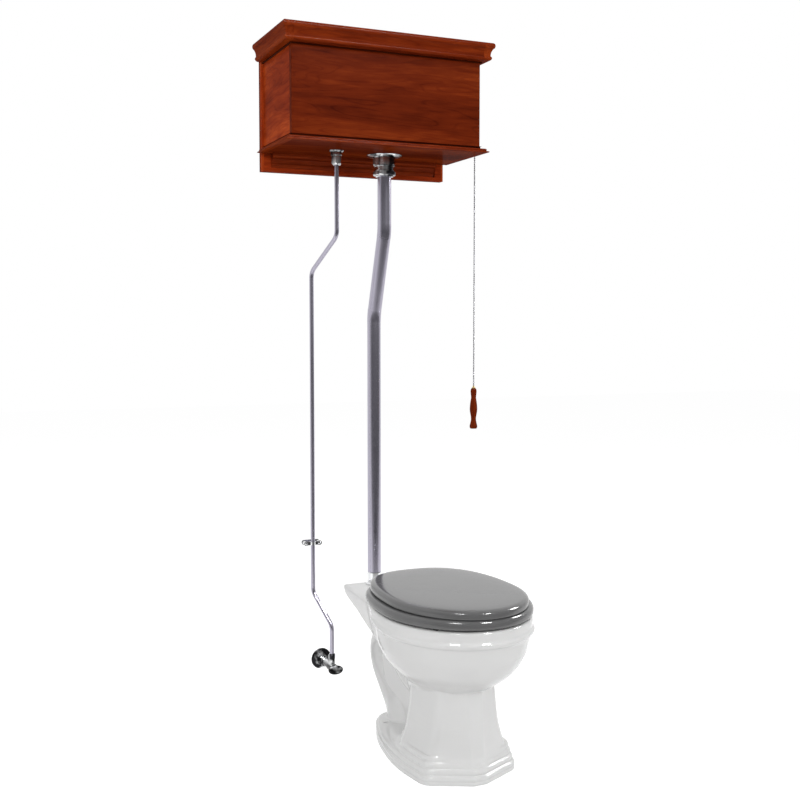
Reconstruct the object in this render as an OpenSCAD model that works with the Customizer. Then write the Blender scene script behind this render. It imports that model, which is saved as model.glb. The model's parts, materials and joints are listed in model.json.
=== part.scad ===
// High-tank pull-chain toilet: a wooden tank on a back board, flush pipe, supply tube and stop valve,
// and a free-standing china bowl with seat and lid.
// Origin: on the floor at the bowl's outlet. +Z up, the bowl's front faces -Y, the wall is at +Y.

/* [Room] */
// Distance from the finished wall to the bowl's outlet
rough_in = 305; // [290:1:360]

/* [Bowl] */
// Height of the bowl's rim
rim_h = 385; // [370:1:430]
// Half the rim's greatest width
rim_half_w = 186; // [175:1:195]
// How far the rim reaches in front of the outlet
rim_front = 455; // [430:1:480]
// How far the rim stands behind the outlet
rim_back = 62; // [55:1:70]
// Half the width of the bowl's mouth
mouth_half_w = 124; // [110:1:130]
// Thickness of the china
china_t = 11; // [8:0.5:14]
// Half the foot's greatest width
foot_half_w = 146; // [135:1:155]
// How far the foot reaches in front of the outlet
foot_front = 388; // [380:1:400]
// How far the foot reaches behind the outlet
foot_back = 100; // [90:1:110]
// Number of ribs round the foot
rib_count = 4; // [2:1:5]
// Height of one rib
rib_h = 14.5; // [12:0.5:18]
// Height of the ledge that carries the flush pipe
ledge_h = 340; // [335:1:345]
// Half the ledge's width at the back
ledge_half_w = 84; // [75:1:90]
// Gap between the ledge and the wall
ledge_gap = 6; // [4:1:15]
// Radius of the trapway's passage
trap_r = 28; // [24:0.5:29]
// Radius of the outlet bore
outlet_r = 30; // [27:0.5:36]
// Distance between the floor bolts
floor_bolt_gap = 152.4; // [140:0.1:165]
// Radius of a floor bolt hole
floor_bolt_r = 6.5; // [5:0.5:9]

/* [Seat] */
// Thickness of the seat ring
ring_t = 22; // [16:1:26]
// Thickness of the lid
lid_t = 20; // [14:1:24]
// Gap between the rim and the ring
ring_gap = 5; // [4:0.5:8]
// Gap between the ring and the lid
lid_gap = 3; // [2:0.5:5]
// Half the width of the hole in the ring
ring_hole_half_w = 112; // [100:1:120]
// Distance between the two seat bolts
seat_bolt_gap = 144; // [138:1:160]
// Radius of the hinge pin
hinge_pin_r = 4; // [3:0.25:5]

/* [Tank] */
// Width of the tank's front panel
tank_w = 530; // [500:5:560]
// Depth of the tank from its front to the back board
tank_d = 240; // [225:5:250]
// Height of the plain part of the front panel
panel_h = 226; // [210:1:250]
// Height of the tank floor's top above the room's floor
tank_z = 1556; // [1450:1:1800]
// How far the tank's centre stands left of the flush pipe
tank_shift = 48; // [30:1:60]
// Thickness of the tank's boards
board_t = 16; // [12:1:18]
// Height of the crown moulding
crown_h = 47; // [40:1:55]
// How far the crown moulding stands out
crown_out = 30; // [24:1:36]
// How far the base moulding stands out
base_out = 19; // [14:1:22]
// Thickness of the tank's floor
floor_t = 14; // [10:1:16]
// Thickness of the tank's lid
tank_lid_t = 18; // [15:1:22]
// Height of the liner
liner_h = 180; // [150:1:190]
// Thickness of the liner
liner_t = 3; // [2:0.5:4]

/* [Back board] */
// Thickness of the back board with its frame
back_t = 22; // [18:1:26]
// How far the back board stands out on each side of the tank
back_margin = 6; // [4:1:18]
// How far the back board reaches below the tank
back_drop = 48; // [44:1:60]
// Height of the back board
back_h = 302; // [270:1:320]
// Width of the frame's stiles
stile_w = 26; // [20:1:40]
// Distance between the wall screws, one stud bay
screw_gap = 406.4; // [380:0.1:420]
// Radius of a wall screw hole
wall_screw_r = 3; // [2.5:0.25:4]

/* [Flush pipe] */
// Outside radius of the flush pipe
pipe_r = 19; // [17:0.5:20]
// Wall of the flush pipe
pipe_wall = 1.2; // [0.8:0.1:2]
// Distance from the wall to the pipe below the tank
pipe_top_off = 115; // [105:1:120]
// Distance from the wall to the pipe at the bowl
pipe_low_off = 39; // [36:1:44]
// How far the upper bend lies below the tank's floor
pipe_bend_drop = 221; // [150:1:260]
// Height of the offset between the two bends
pipe_offset_h = 229; // [180:1:300]

/* [Supply] */
// Outside radius of the supply tube
tube_r = 6; // [5:0.25:6.5]
// Wall of the supply tube
tube_wall = 0.9; // [0.7:0.1:1.2]
// How far the tank's inlet stands left of the flush pipe
inlet_x = 150; // [140:1:165]
// Distance from the wall to the tank's inlet
inlet_off = 144; // [130:1:155]
// How far the tube runs left of the flush pipe
tube_x = 180; // [172:1:200]
// Distance from the wall to the tube's long run
tube_off = 23; // [20:1:30]
// Height of the pipe clip
clip_z = 469; // [400:1:900]
// Height of the stop valve
valve_z = 130; // [110:1:160]
// Distance from the wall to the stop valve's outlet
valve_off = 90; // [80:1:100]

/* [Pull] */
// Height of the lever's shaft above the tank's floor
lever_z = 206; // [200:1:215]
// Length of the lever's outer arm
outer_arm = 42; // [36:1:46]
// Length of the lever's inner arm
inner_arm = 42; // [36:1:44]
// How far the pull chain hangs outside the tank's side
chain_out = 26; // [25:1:30]
// Radius of a bead of the pull chain
bead_r = 2.25; // [1.8:0.05:2.6]
// Distance from bead to bead
bead_pitch = 5.6; // [5:0.1:6.5]
// Number of beads in the pull chain
bead_count = 150; // [100:1:160]
// Length of the turned pull handle
handle_l = 113; // [95:1:125]
// Greatest radius of the pull handle
handle_r = 10.6; // [9:0.1:12]

/* [Hidden] */

// Running clearance between a pin and its bore
run = 0.08;
// Clearance between parts that are only laid together
lay = 0.3;
// How far a cutter runs past what it cuts
past = 1;
$fn = 48;

// Colours
china = [0.93, 0.93, 0.92];
seat_grey = [0.42, 0.42, 0.42];
cherry = [0.42, 0.13, 0.07];
chrome = [0.80, 0.81, 0.83];
satin = [0.55, 0.55, 0.62];
brass = [0.78, 0.62, 0.30];
black = [0.08, 0.08, 0.08];
white = [0.90, 0.90, 0.88];

// Places that several parts share
wall_y = rough_in;
tank_x = -tank_shift;
tank_xl = tank_x - tank_w / 2;
tank_xr = tank_x + tank_w / 2;
tank_yb = wall_y - back_t;
tank_yf = tank_yb - tank_d;
tank_under = tank_z - floor_t;
tank_top = tank_z + panel_h + crown_h;
wall_top = tank_top - tank_lid_t;
pipe_y = wall_y - pipe_top_off;
pipe_low_y = wall_y - pipe_low_off;
ledge_y = wall_y - ledge_gap;
inlet_y = wall_y - inlet_off;
hinge_y = rim_back - 16;
hinge_z = rim_h + 18;
ring_z = rim_h + ring_gap;
ring_top = ring_z + ring_t;
lid_z = ring_top + lid_gap;
valve_y = wall_y - valve_off;
valve_x = -inlet_x + 1;
lever_shaft_z = tank_z + lever_z;
lever_y = pipe_y - 25;

// Points and outlines

function unit(v) = v / norm(v);
function blend(a, b, t) = a + (b - a) * t;
function smooth(t) = t * t * (3 - 2 * t);
function signed_pow(v, p) = sign(v) * pow(abs(v), p);

// An egg-shaped outline at height z: a half ellipse in front of y_wide and a fuller half behind it.
function egg(half_w, y_front, y_wide, y_back, z, count, fullness = 2.5) = [
    for (i = [0 : count - 1])
        let (c = cos(360 * i / count), s = sin(360 * i / count))
        s < 0
            ? [half_w * c, y_wide + (y_wide - y_front) * s, z]
            : [half_w * signed_pow(c, 2 / fullness), y_wide + (y_back - y_wide) * pow(s, 2 / fullness), z]
];

// A closed outline whose corners are rounded, each starting cut[i] before corner i, with steps + 1 points.
function soft_corners(corners, cut, steps) =
    let (n = len(corners))
    [
        for (i = [0 : n - 1])
            let (
                p = corners[i],
                before = corners[(i + n - 1) % n],
                after = corners[(i + 1) % n],
                a = p + unit(before - p) * min(cut[i], norm(before - p) * 0.48),
                b = p + unit(after - p) * min(cut[i], norm(after - p) * 0.48)
            )
            for (k = [0 : steps])
                let (t = k / steps)
                a * (1 - t) * (1 - t) + p * 2 * t * (1 - t) + b * t * t
    ];

// The outlines run anticlockwise as seen from the end that the loft grows towards.
module loft(rings) {
    n = len(rings[0]);
    top = (len(rings) - 1) * n;
    side = [
        for (i = [0 : len(rings) - 2])
            for (j = [0 : n - 1])
                let (a = i * n + j, b = i * n + (j + 1) % n)
                each [[a, a + n, b], [b, a + n, b + n]]
    ];
    bottom_cap = [for (j = [1 : n - 2]) [0, j, j + 1]];
    top_cap = [for (j = [1 : n - 2]) [top, top + j + 1, top + j]];
    polyhedron([for (r = rings) each r], concat(side, bottom_cap, top_cap), convexity = 8);
}

// A closed band: every outline joins the next and the last joins the first.
module band(rings) {
    n = len(rings[0]);
    m = len(rings);
    polyhedron(
        [for (r = rings) each r],
        [
            for (i = [0 : m - 1])
                for (j = [0 : n - 1])
                    let (a = i * n + j, b = i * n + (j + 1) % n,
                         c = ((i + 1) % m) * n + j, d = ((i + 1) % m) * n + (j + 1) % n)
                    each [[a, c, b], [b, c, d]]
        ],
        convexity = 8
    );
}

// A solid round run along a list of points, with a bend of radius bend at each inner point. The bends are a
// hair thicker than the straight lengths, which run into them.
module run_solid(points, r, bend, over) {
    last = len(points) - 1;
    hair = max(0.05, r * 0.012);
    into = 0.8;
    function way(i) = unit(points[i + 1] - points[i]);
    function turn(i) = acos(way(i - 1) * way(i));
    function trim(i) = i == 0 || i == last ? -over : bend * tan(turn(i) / 2) - into;
    for (i = [0 : last - 1]) {
        z = way(i);
        x = unit(cross(abs(z.x) < 0.9 ? [1, 0, 0] : [0, 1, 0], z));
        y = cross(z, x);
        start = points[i] + z * trim(i);
        multmatrix([
            [x.x, y.x, z.x, start.x], [x.y, y.y, z.y, start.y], [x.z, y.z, z.z, start.z], [0, 0, 0, 1]
        ])
            cylinder(r = r, h = norm(points[i + 1] - points[i]) - trim(i) - trim(i + 1));
    }
    for (i = [1 : 1 : last - 1]) {
        u = way(i - 1);
        n = unit(cross(u, way(i)));
        m = cross(n, u);
        c = points[i] - u * (trim(i) + into) + m * bend;
        multmatrix([
            [-m.x, u.x, n.x, c.x], [-m.y, u.y, n.y, c.y], [-m.z, u.z, n.z, c.z], [0, 0, 0, 1]
        ])
            rotate_extrude(angle = turn(i))
                translate([bend, 0])
                    circle(r + hair);
    }
}

module pipe_run(points, r, wall, bend) {
    difference() {
        run_solid(points, r, bend, 0);
        run_solid(points, r - wall, bend, past);
    }
}

// A ring or a washer that stands on z = 0
module ring(r_out, r_in, h) {
    difference() {
        cylinder(r = r_out, h = h);
        translate([0, 0, -past])
            cylinder(r = r_in, h = h + 2 * past);
    }
}

// A hexagonal nut with chamfered corners that stands on z = 0
module hex_nut(r_corner, r_in, h) {
    chamfer = r_corner * 0.12;
    difference() {
        intersection() {
            cylinder(r = r_corner, h = h, $fn = 6);
            union() {
                cylinder(r1 = r_corner - chamfer, r2 = r_corner, h = chamfer * 0.6);
                translate([0, 0, chamfer * 0.6])
                    cylinder(r = r_corner, h = h - chamfer * 1.2);
                translate([0, 0, h - chamfer * 0.6])
                    cylinder(r1 = r_corner, r2 = r_corner - chamfer, h = chamfer * 0.6);
            }
        }
        translate([0, 0, -past])
            cylinder(r = r_in, h = h + 2 * past);
    }
}

// A round part turned from a half profile of [radius, height] points
module turned(profile) {
    rotate_extrude()
        polygon(profile);
}

// Points of a smooth curve through the given [radius, height] points
function through(points, steps) = [
    for (i = [0 : len(points) - 2])
        let (
            p0 = points[max(i - 1, 0)], p1 = points[i], p2 = points[i + 1],
            p3 = points[min(i + 2, len(points) - 1)]
        )
        for (k = [0 : steps - 1])
            let (t = k / steps)
            0.5 * (2 * p1 + (p2 - p0) * t + (2 * p0 - 5 * p1 + 4 * p2 - p3) * t * t
                   + (3 * p1 - p0 - 3 * p2 + p3) * t * t * t),
    points[len(points) - 1]
];

// Bowl

bowl_sides = 48;
spud_r = pipe_r + 3.5;
spud_z = ledge_h - 26;
spud_depth = 18;
// Where the rim is widest
rim_wide_y = -rim_front + rim_half_w * 1.14;
// Height where the bowl sits on its pedestal
waist_z = rim_h * 0.575;
// Height of the ribbed foot
foot_h = rib_count * rib_h + 8;
ridge_z = rim_h - 37;

// The bowl's outer skin: [height, inset from the rim's outline at the sides, at the front, at the back]
bowl_skin = [
    [100, 132, 228, 150], [116, 124, 214, 138], [150, 114, 190, 112], [190, 98, 138, 91],
    [waist_z - 12, 87, 106, 88], [waist_z + 2, 71, 82, 86], [waist_z + 18, 52, 59, 84],
    [waist_z + 38, 34, 39, 80], [waist_z + 60, 21, 25, 77], [waist_z + 82, 12, 15, 74],
    [ridge_z - 16, 7.5, 8.5, 68], [ridge_z - 7, 5.5, 6, 64], [ridge_z - 3, 1, 1, 60], [ridge_z + 2, -3.5, -3.5, 50],
    [ridge_z + 8, -3.5, -3.5, 38], [ridge_z + 14, 1.5, 1.5, 24], [rim_h - 7, 1, 1, 5], [rim_h - 1.5, 3, 3, 4],
    [rim_h + past, 8.5, 8.5, 7]
];

module bowl_outside() {
    loft([
        for (s = bowl_skin)
            egg(rim_half_w - s[1], -rim_front + s[2], rim_wide_y + s[1] * 0.25, rim_back - s[3], s[0],
                bowl_sides, 2.15)
    ]);
}

// The inside: [height, half width, front, back]
bowl_well = [
    [112, 40, -212, -98], [118, 46, -221, -92], [150, 59, -251, -76], [190, 76, -303, -56],
    [waist_z + 4, 104, -360, -48], [waist_z + 18, 122, -386, -42], [waist_z + 38, 141, -406, -36],
    [rim_h - 90, 159, -425, -30], [rim_h - 62, 166, -433, -32], [rim_h - 38, 168, -436, -36],
    [rim_h - 32, 160, -428, -44], [rim_h - 28, mouth_half_w, -rim_front + 58, -70],
    [rim_h - 8, mouth_half_w, -rim_front + 60, -72], [rim_h + past, mouth_half_w + 5, -rim_front + 54, -66]
];

module bowl_inside() {
    loft([for (s = bowl_well) egg(s[1], s[2], blend(s[2], s[3], 0.45), s[3], s[0], 40, 2.1)]);
}

// A ten-cornered outline with soft corners at height z, from the five corners of its +X half
function faceted(z, half, grow, cut, steps) =
    let (
        away = [[0.5, -1], [1, -0.6], [1, 0], [1, 0.2], [0.7, 1]],
        right = [for (i = [0 : 4]) half[i] + grow * away[i]],
        all = concat(right, [for (i = [4 : -1 : 0]) [-right[i].x, right[i].y]])
    )
    [for (p = soft_corners(all, concat(cut, [for (i = [4 : -1 : 0]) cut[i]]), steps)) [p.x, p.y, z]];

// Half the width of the narrow flat nose in front of the foot
nose_half_w = 17;

// The foot at height z. Above the bolt flange its back draws in.
function foot_level(z, grow) =
    let (t = max(0, (z - 26) / (foot_h - 26)), in = smooth(min(1, t * 1.6)))
    faceted(z, [
        [nose_half_w, -foot_front], [foot_half_w * 0.87, -foot_front + 54], [foot_half_w - 8 * t, -200 - 10 * t],
        [blend(foot_half_w * 0.83, foot_half_w * 0.72, in), blend(-40, -130, in)],
        [66, blend(foot_back, -100, in)]
    ], grow, [9, 26, 80, 60, 50], 2);

// How far each rib of the foot stands in from the one below it
rib_step = 4.4;

// How far the foot swells at height z: rounded ribs that step in as they rise
function rib_swell(z) =
    let (n = (z - 8) / rib_h)
    -rib_step * floor(n) + 2.6 * pow(sin(180 * (n - floor(n))), 0.6) - 3;

module foot() {
    cuts = 4;
    loft(concat(
        [foot_level(0, -1.5), foot_level(3, 0), foot_level(7, 0)],
        [for (k = [0 : rib_count * cuts - 1]) let (z = 8 + k * rib_h / cuts) foot_level(z, rib_swell(z + 0.01))]
    ));
}

// The pedestal: [height, front, half width of the sides, back of the web]
pedestal_levels = [
    [6, 378, 130, 40], [foot_h - 14, 377, 126, 44], [foot_h + 2, 375, 120, 54],
    [foot_h + 22, 371, 112, 80], [foot_h + 60, 366, 102, 122], [waist_z - 40, 362, 96, 138],
    [waist_z - 8, 360, 93, 140], [waist_z + 14, 354, 92, 130], [waist_z + 26, 342, 86, 20]
];
pedestal_side_y = -188;

function pedestal_level(s, t) =
    faceted(s[0], [
        [nose_half_w - t * 0.4, -s[1] + t], [s[2] * 0.84 - t, blend(-s[1], pedestal_side_y, 0.26) + t * 0.6],
        [s[2] - t, pedestal_side_y - t * 0.4], [38 - t, -108 - t * 1.3], [37 - t, s[3] - t]
    ], 0, [9, 30, 26, 34, 20], 2);

module pedestal() {
    loft([for (s = pedestal_levels) pedestal_level(s, 0)]);
}

module pedestal_hollow() {
    loft([
        for (s = [[-past, 384, 138, -42], [30, 382, 136, -42], [foot_h - 8, 374, 124, -36],
                  [foot_h + 40, 367, 106, 10], [waist_z - 16, 358, 93, -40]])
            pedestal_level(s, china_t)
    ]);
    translate([0, 0, -past])
        linear_extrude(20 + past)
            polygon([[104, -170], [124, -110], [112, -44], [-112, -44], [-124, -110], [-104, -170]]);
}

// Middle line of the trapway, from the sump up over the weir and down to the outlet: [y, height, outer radius]
trap_path = [
    [-150, 148, 42], [-92, 150, 43], [-30, 160, 44], [36, 190, 45], [92, 216, 46], [138, 220, 46], [170, 198, 46],
    [178, 166, 45], [164, 134, 44], [134, 108, 44], [100, 86, 46], [66, 67, 50], [34, 52, 58], [10, 36, 62],
    [0, 16, 62], [0, -12, 62]
];
trap_line = through(trap_path, 2);

module trapway(passage, first, last) {
    loft([
        for (i = [first : last])
            let (
                p = trap_line[i],
                d = unit(trap_line[min(i + 1, len(trap_line) - 1)] - trap_line[max(i - 1, 0)]),
                t = unit([0, d[0], d[1]]),
                n = cross(t, [1, 0, 0]),
                r = passage ? trap_r : p[2]
            )
            [for (k = [0 : 15]) [0, p[0], p[1]] + r * (cos(22.5 * k) * [1, 0, 0] + sin(22.5 * k) * n)]
    ]);
}

// The ledge behind the seat: [y, half width on top, half width below, underside, top]
ledge_levels = [
    [-60, 118, 88, 218, rim_h + past], [20, 112, 84, 228, rim_h + past], [rim_back - 2, 106, 82, 234, rim_h + past],
    [rim_back + 6, 104, 82, 236, rim_h - 8], [rim_back + 12, 103, 82, 238, ledge_h + 3],
    [rim_back + 22, 102, 81, 241, ledge_h], [130, 97, 80, 254, ledge_h], [200, 91, 78, 276, ledge_h],
    [ledge_y - 20, ledge_half_w + 1, 76, 299, ledge_h], [ledge_y - 6, ledge_half_w - 1, 75, 305, ledge_h],
    [ledge_y - 1.5, ledge_half_w - 4, 73, 309, ledge_h - 1], [ledge_y, ledge_half_w - 7, 71, 312, ledge_h - 3]
];

module ledge() {
    lip = 13;
    loft([
        for (s = ledge_levels)
            [
                for (p = soft_corners(
                    [[s[4], -s[1]], [s[4], s[1]], [s[4] - lip, s[1]], [s[3], s[2]], [s[3], -s[2]], [s[4] - lip, -s[1]]],
                    [5, 5, 9, 22, 22, 9], 3))
                    [p.y, s[0], p.x]
            ]
    ]);
}

// The water's way from the flush pipe up to the rim: [y, half width below, half width above, bottom, top]
module ledge_duct() {
    top = ledge_h - 12;
    loft([
        for (s = [[-46, 36, 36, rim_h - 21, rim_h - 8], [-16, 44, 44, rim_h - 26, rim_h - 9],
                  [-8, 54, 62, 290, rim_h - 20], [30, 74, 88, 248, top], [130, 68, 84, 266, top],
                  [210, 64, 78, 290, top], [pipe_low_y + 16, 38, 44, spud_z, top]])
            [for (p = soft_corners([[s[4], -s[2]], [s[4], s[2]], [s[3], s[1]], [s[3], -s[1]]], [8, 8, 8, 8], 2))
                [p.y, s[0], p.x]]
    ]);
}

// The channel inside the rim
module rim_channel() {
    low = rim_h - 21;
    high = rim_h - 8;
    difference() {
        loft([for (z = [low, high]) egg(rim_half_w - 14, -rim_front + 14, rim_wide_y, -8, z, 32, 2.15)]);
        loft([
            for (z = [low - past, high + past])
                egg(mouth_half_w + 10, -rim_front + 49, -246, -60, z, 32, 2.2)
        ]);
    }
}

// The casting, cut level at the floor and at the rim
module casting() {
    block = 100;
    difference() {
        union() {
            difference() {
                union() {
                    foot();
                    pedestal();
                }
                pedestal_hollow();
            }
            bowl_outside();
            trapway(false, 1, len(trap_line) - 2);
            ledge();
        }
        bowl_inside();
        trapway(true, 0, len(trap_line) - 3);
        ledge_duct();
        rim_channel();
        translate([0, pipe_low_y, spud_z])
            cylinder(r = spud_r - 3, h = 60);
        for (z = [-block, rim_h])
            translate([-rim_half_w * 2, -rim_front * 2, z])
                cube([rim_half_w * 4, rim_front * 4, block]);
    }
}

module bowl() {
    color(china)
        difference() {
            resize([0, 0, rim_h])
                casting();
            translate([0, 0, -past])
                cylinder(r = outlet_r, h = 32);
            for (x = [-1, 1]) {
                translate([x * floor_bolt_gap / 2, 0, -past])
                    cylinder(r = floor_bolt_r, h = 60);
                translate([x * seat_bolt_gap / 2, hinge_y, rim_h - 45])
                    cylinder(r = seat_bolt_hole_r, h = 60);
            }
            translate([0, pipe_low_y, spud_z])
                cylinder(r = spud_r, h = 60);
        }
}

seat_bolt_hole_r = 7.5;
seat_bolt_r = 5;

module spud_washer() {
    color(black)
        translate([0, pipe_low_y, ledge_h - spud_depth])
            ring(spud_r, pipe_r + 0.05, spud_depth);
}

module spud_collar() {
    color(chrome)
        translate([0, pipe_low_y, ledge_h])
            turned([
                [pipe_r + 0.05, 0], [spud_r + 1.5, 0], [spud_r + 1.5, 3], [pipe_r + 1.6, 6],
                [pipe_r + 1.3, 34], [pipe_r + 0.6, 36], [pipe_r + 0.05, 36]
            ]);
}

// Seat

seat_sides = 64;
seat_half_w = rim_half_w + 2;
seat_back = rim_back - 32;
seat_wide_y = -rim_front + seat_half_w * 1.16;
ring_hole_front = -rim_front + 78;
ring_hole_back = seat_back - 86;

// An outline part of the way from the ring's outer edge (0) to its hole (1)
function ring_outline(part, z) =
    let (
        outer = egg(seat_half_w, -rim_front - 2, seat_wide_y, seat_back, z, seat_sides, 2.55),
        inner = egg(ring_hole_half_w, ring_hole_front, blend(ring_hole_front, ring_hole_back, 0.5),
                    ring_hole_back, z, seat_sides, 2.2)
    )
    [for (i = [0 : seat_sides - 1]) blend(outer[i], inner[i], part)];

// The ring's section: [part of the way in, part of the thickness]
ring_section = [
    [0.045, 0], [0.01, 0.12], [0, 0.4], [0.015, 0.7], [0.07, 0.93], [0.18, 1], [0.62, 0.93], [0.9, 0.78],
    [0.98, 0.55], [1, 0.3], [0.97, 0.06], [0.93, 0]
];

module seat_ring() {
    color(seat_grey)
        band([for (s = ring_section) ring_outline(s[0], ring_z + s[1] * ring_t)]);
}

// The lid's section: [inset from its edge, part of the thickness]
lid_section = [
    [7, 0], [2, 0.08], [0, 0.26], [0.3, 0.5], [2.6, 0.7], [8, 0.86], [17, 0.94], [46, 0.985], [95, 1]
];
lid_inset = 15;
lid_front_inset = 3;

module seat_lid() {
    color(seat_grey)
        loft([
            for (s = lid_section)
                egg(seat_half_w - lid_inset - s[0], -rim_front - 2 + lid_front_inset + s[0] * 1.05,
                    seat_wide_y + s[0] * 0.1, seat_back - s[0] * 1.1, lid_z + s[1] * lid_t, seat_sides, 2.55)
        ]);
}

module ring_bumpers() {
    color(black)
        for (x = [-1, 1], p = [[118, -388], [158, -150]])
            translate([x * p.x, p.y, rim_h + lay])
                cylinder(r1 = 6, r2 = 7.5, h = ring_gap - lay);
}

module lid_bumpers() {
    color(black)
        for (x = [-1, 1], p = [[104, -372], [142, -140]])
            translate([x * p.x, p.y, ring_top + lay])
                cylinder(r = 6, h = lid_gap - lay);
}

post_x = seat_bolt_gap / 2;
lid_knuckle_x = post_x - 19;
lid_knuckle_l = 18;
ring_knuckle_l = 22;
ring_knuckle_x = lid_knuckle_x - (lid_knuckle_l + ring_knuckle_l) / 2 - 0.5;
knuckle_r = hinge_pin_r + 3.5;

// A hinge knuckle of length l, with an arm that reaches to the seat's back edge between two heights
module knuckle(x, l, low, high) {
    translate([x - l / 2, hinge_y, hinge_z])
        rotate([0, 90, 0])
            difference() {
                cylinder(r = knuckle_r, h = l);
                translate([0, 0, -past])
                    cylinder(r = hinge_pin_r + run, h = l + 2 * past);
            }
    start = seat_back + lay;
    reach = hinge_y - knuckle_r + 1.2;
    translate([x - l / 2, start, low])
        cube([l, reach - start, high - low]);
}

module ring_hinges() {
    color(chrome)
        for (x = [-ring_knuckle_x, ring_knuckle_x])
            knuckle(x, ring_knuckle_l, hinge_z - 5, ring_top - 3);
}

module lid_hinges() {
    color(chrome)
        for (x = [-1, 1])
            translate([x * lid_knuckle_x, 0, 0])
                lid_knuckle();
}

module lid_knuckle() {
    knuckle(0, lid_knuckle_l, hinge_z - 3, hinge_z + 3);
    translate([-lid_knuckle_l / 2, seat_back + lay, hinge_z - 3])
        cube([lid_knuckle_l, 5, lid_z + lid_t * 0.6 - hinge_z + 3]);
}

module hinge_pin() {
    color(chrome)
        translate([-post_x - 8, hinge_y, hinge_z])
            rotate([0, 90, 0])
                cylinder(r = hinge_pin_r, h = 2 * post_x + 16);
}

module hinge_posts() {
    color(chrome)
        for (x = [-post_x, post_x])
            translate([x, hinge_y, rim_h])
                difference() {
                    union() {
                        cylinder(r1 = 14, r2 = 12.5, h = 4);
                        cylinder(r = 8.5, h = hinge_z - rim_h);
                        translate([0, 0, hinge_z - rim_h])
                            sphere(r = 8.5);
                    }
                    translate([-20, 0, hinge_z - rim_h])
                        rotate([0, 90, 0])
                            cylinder(r = hinge_pin_r, h = 40);
                }
}

module seat_bolts() {
    color(chrome)
        for (x = [-post_x, post_x])
            translate([x, hinge_y, rim_h - 45])
                cylinder(r = seat_bolt_r, h = 45);
}

// Flush pipe and the fittings at its two ends

tail_r = pipe_r + 5;
neck_r = pipe_r + 1.5;
flange_t = 6;
locknut_h = 22;
locknut_z = tank_under - flange_t - locknut_h;
neck_z = locknut_z - 20;
slip_z = neck_z - 10;

module flush_pipe() {
    color(satin)
        pipe_run([
            [0, pipe_y, neck_z + 14],
            [0, pipe_y, tank_z - pipe_bend_drop],
            [0, pipe_low_y, tank_z - pipe_bend_drop - pipe_offset_h],
            [0, pipe_low_y, ledge_h - spud_depth]
        ], pipe_r, pipe_wall, 110);
}

module slip_nut() {
    color(chrome)
        translate([0, pipe_y, slip_z])
            difference() {
                union() {
                    turned([[0, 0], [23, 0], [25, 1], [25, 3], [26, 4], [26, 16], [0, 16]]);
                    translate([0, 0, 4])
                        intersection() {
                            cylinder(r = 33, h = 10, $fn = 8);
                            turned([[0, 0], [30, 0], [32, 2], [32, 8], [30, 10], [0, 10]]);
                        }
                }
                translate([0, 0, -past])
                    cylinder(r = pipe_r + lay, h = 30);
                translate([0, 0, 3])
                    cylinder(r = 23.5, h = 7);
                translate([0, 0, 10])
                    cylinder(r = neck_r + run, h = 30);
            }
}

module slip_washer() {
    color(black)
        translate([0, pipe_y, slip_z + 3])
            ring(23.4, pipe_r + 0.05, 6.9);
}

module flush_locknut() {
    color(chrome)
        translate([0, pipe_y, locknut_z])
            hex_nut(33, tail_r + run, locknut_h);
}

module flush_flange() {
    color(chrome)
        translate([0, pipe_y, tank_under - flange_t])
            turned([
                [tail_r + run, 0], [34, 0], [40, 1.2], [46, 3.2], [49, 5], [49, flange_t], [tail_r + run, flange_t]
            ]);
}

// The flush valve: a seat above the tank's floor and a threaded tail that hangs through it
seat_top = tank_z + liner_t + 34;
seat_r = 28;

module flush_valve() {
    body_z = tank_z + liner_t + 3;
    color(white)
        difference() {
            union() {
                translate([0, pipe_y, neck_z])
                    cylinder(r = neck_r, h = 30);
                translate([0, pipe_y, locknut_z])
                    cylinder(r = tail_r, h = body_z - locknut_z + 5);
                translate([0, pipe_y, body_z])
                    cylinder(r = 37, h = 5);
                translate([0, pipe_y, body_z])
                    cylinder(r = seat_r, h = seat_top - body_z);
                translate([0, overflow_y, body_z])
                    cylinder(r = overflow_r + 4, h = 22);
                translate([-9, pipe_y, body_z])
                    cube([18, overflow_y - pipe_y, 14]);
            }
            translate([0, pipe_y, neck_z - past])
                cylinder(r = pipe_r + 0.2, h = 16 + past);
            translate([0, pipe_y, neck_z])
                cylinder(r = 16.5, h = 200);
            translate([0, pipe_y, seat_top - 8])
                cylinder(r1 = 16.5, r2 = seat_r - 4, h = 8 + 0.01);
            translate([0, overflow_y, body_z + 6])
                cylinder(r = overflow_r, h = 40);
            translate([0, pipe_y + 10, body_z + 10])
                rotate([-90, 0, 0])
                    cylinder(r = 4, h = overflow_y - pipe_y - 10);
        }
}

module flush_gasket() {
    color(black)
        translate([0, pipe_y, tank_z + liner_t])
            ring(36, tail_r + 0.05, 3);
}

overflow_r = 13;
overflow_y = pipe_y + 52;
overflow_top = tank_z + 166;

module overflow_tube() {
    color(white)
        difference() {
            union() {
                translate([0, overflow_y, tank_z + liner_t + 9])
                    cylinder(r = overflow_r, h = overflow_top - tank_z - liner_t - 9);
                translate([-20, flap_y, flap_z])
                    rotate([0, 90, 0])
                        cylinder(r = 3, h = 40);
            }
            translate([0, overflow_y, 0])
                cylinder(r = overflow_r - 2, h = overflow_top + past);
        }
}

// The flapper swings on two pegs at the sides of the overflow tube.
flap_y = overflow_y - 2;
flap_z = seat_top + 10;
link_y = lever_y + inner_arm;
link_low_z = flap_z + 12;

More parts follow.
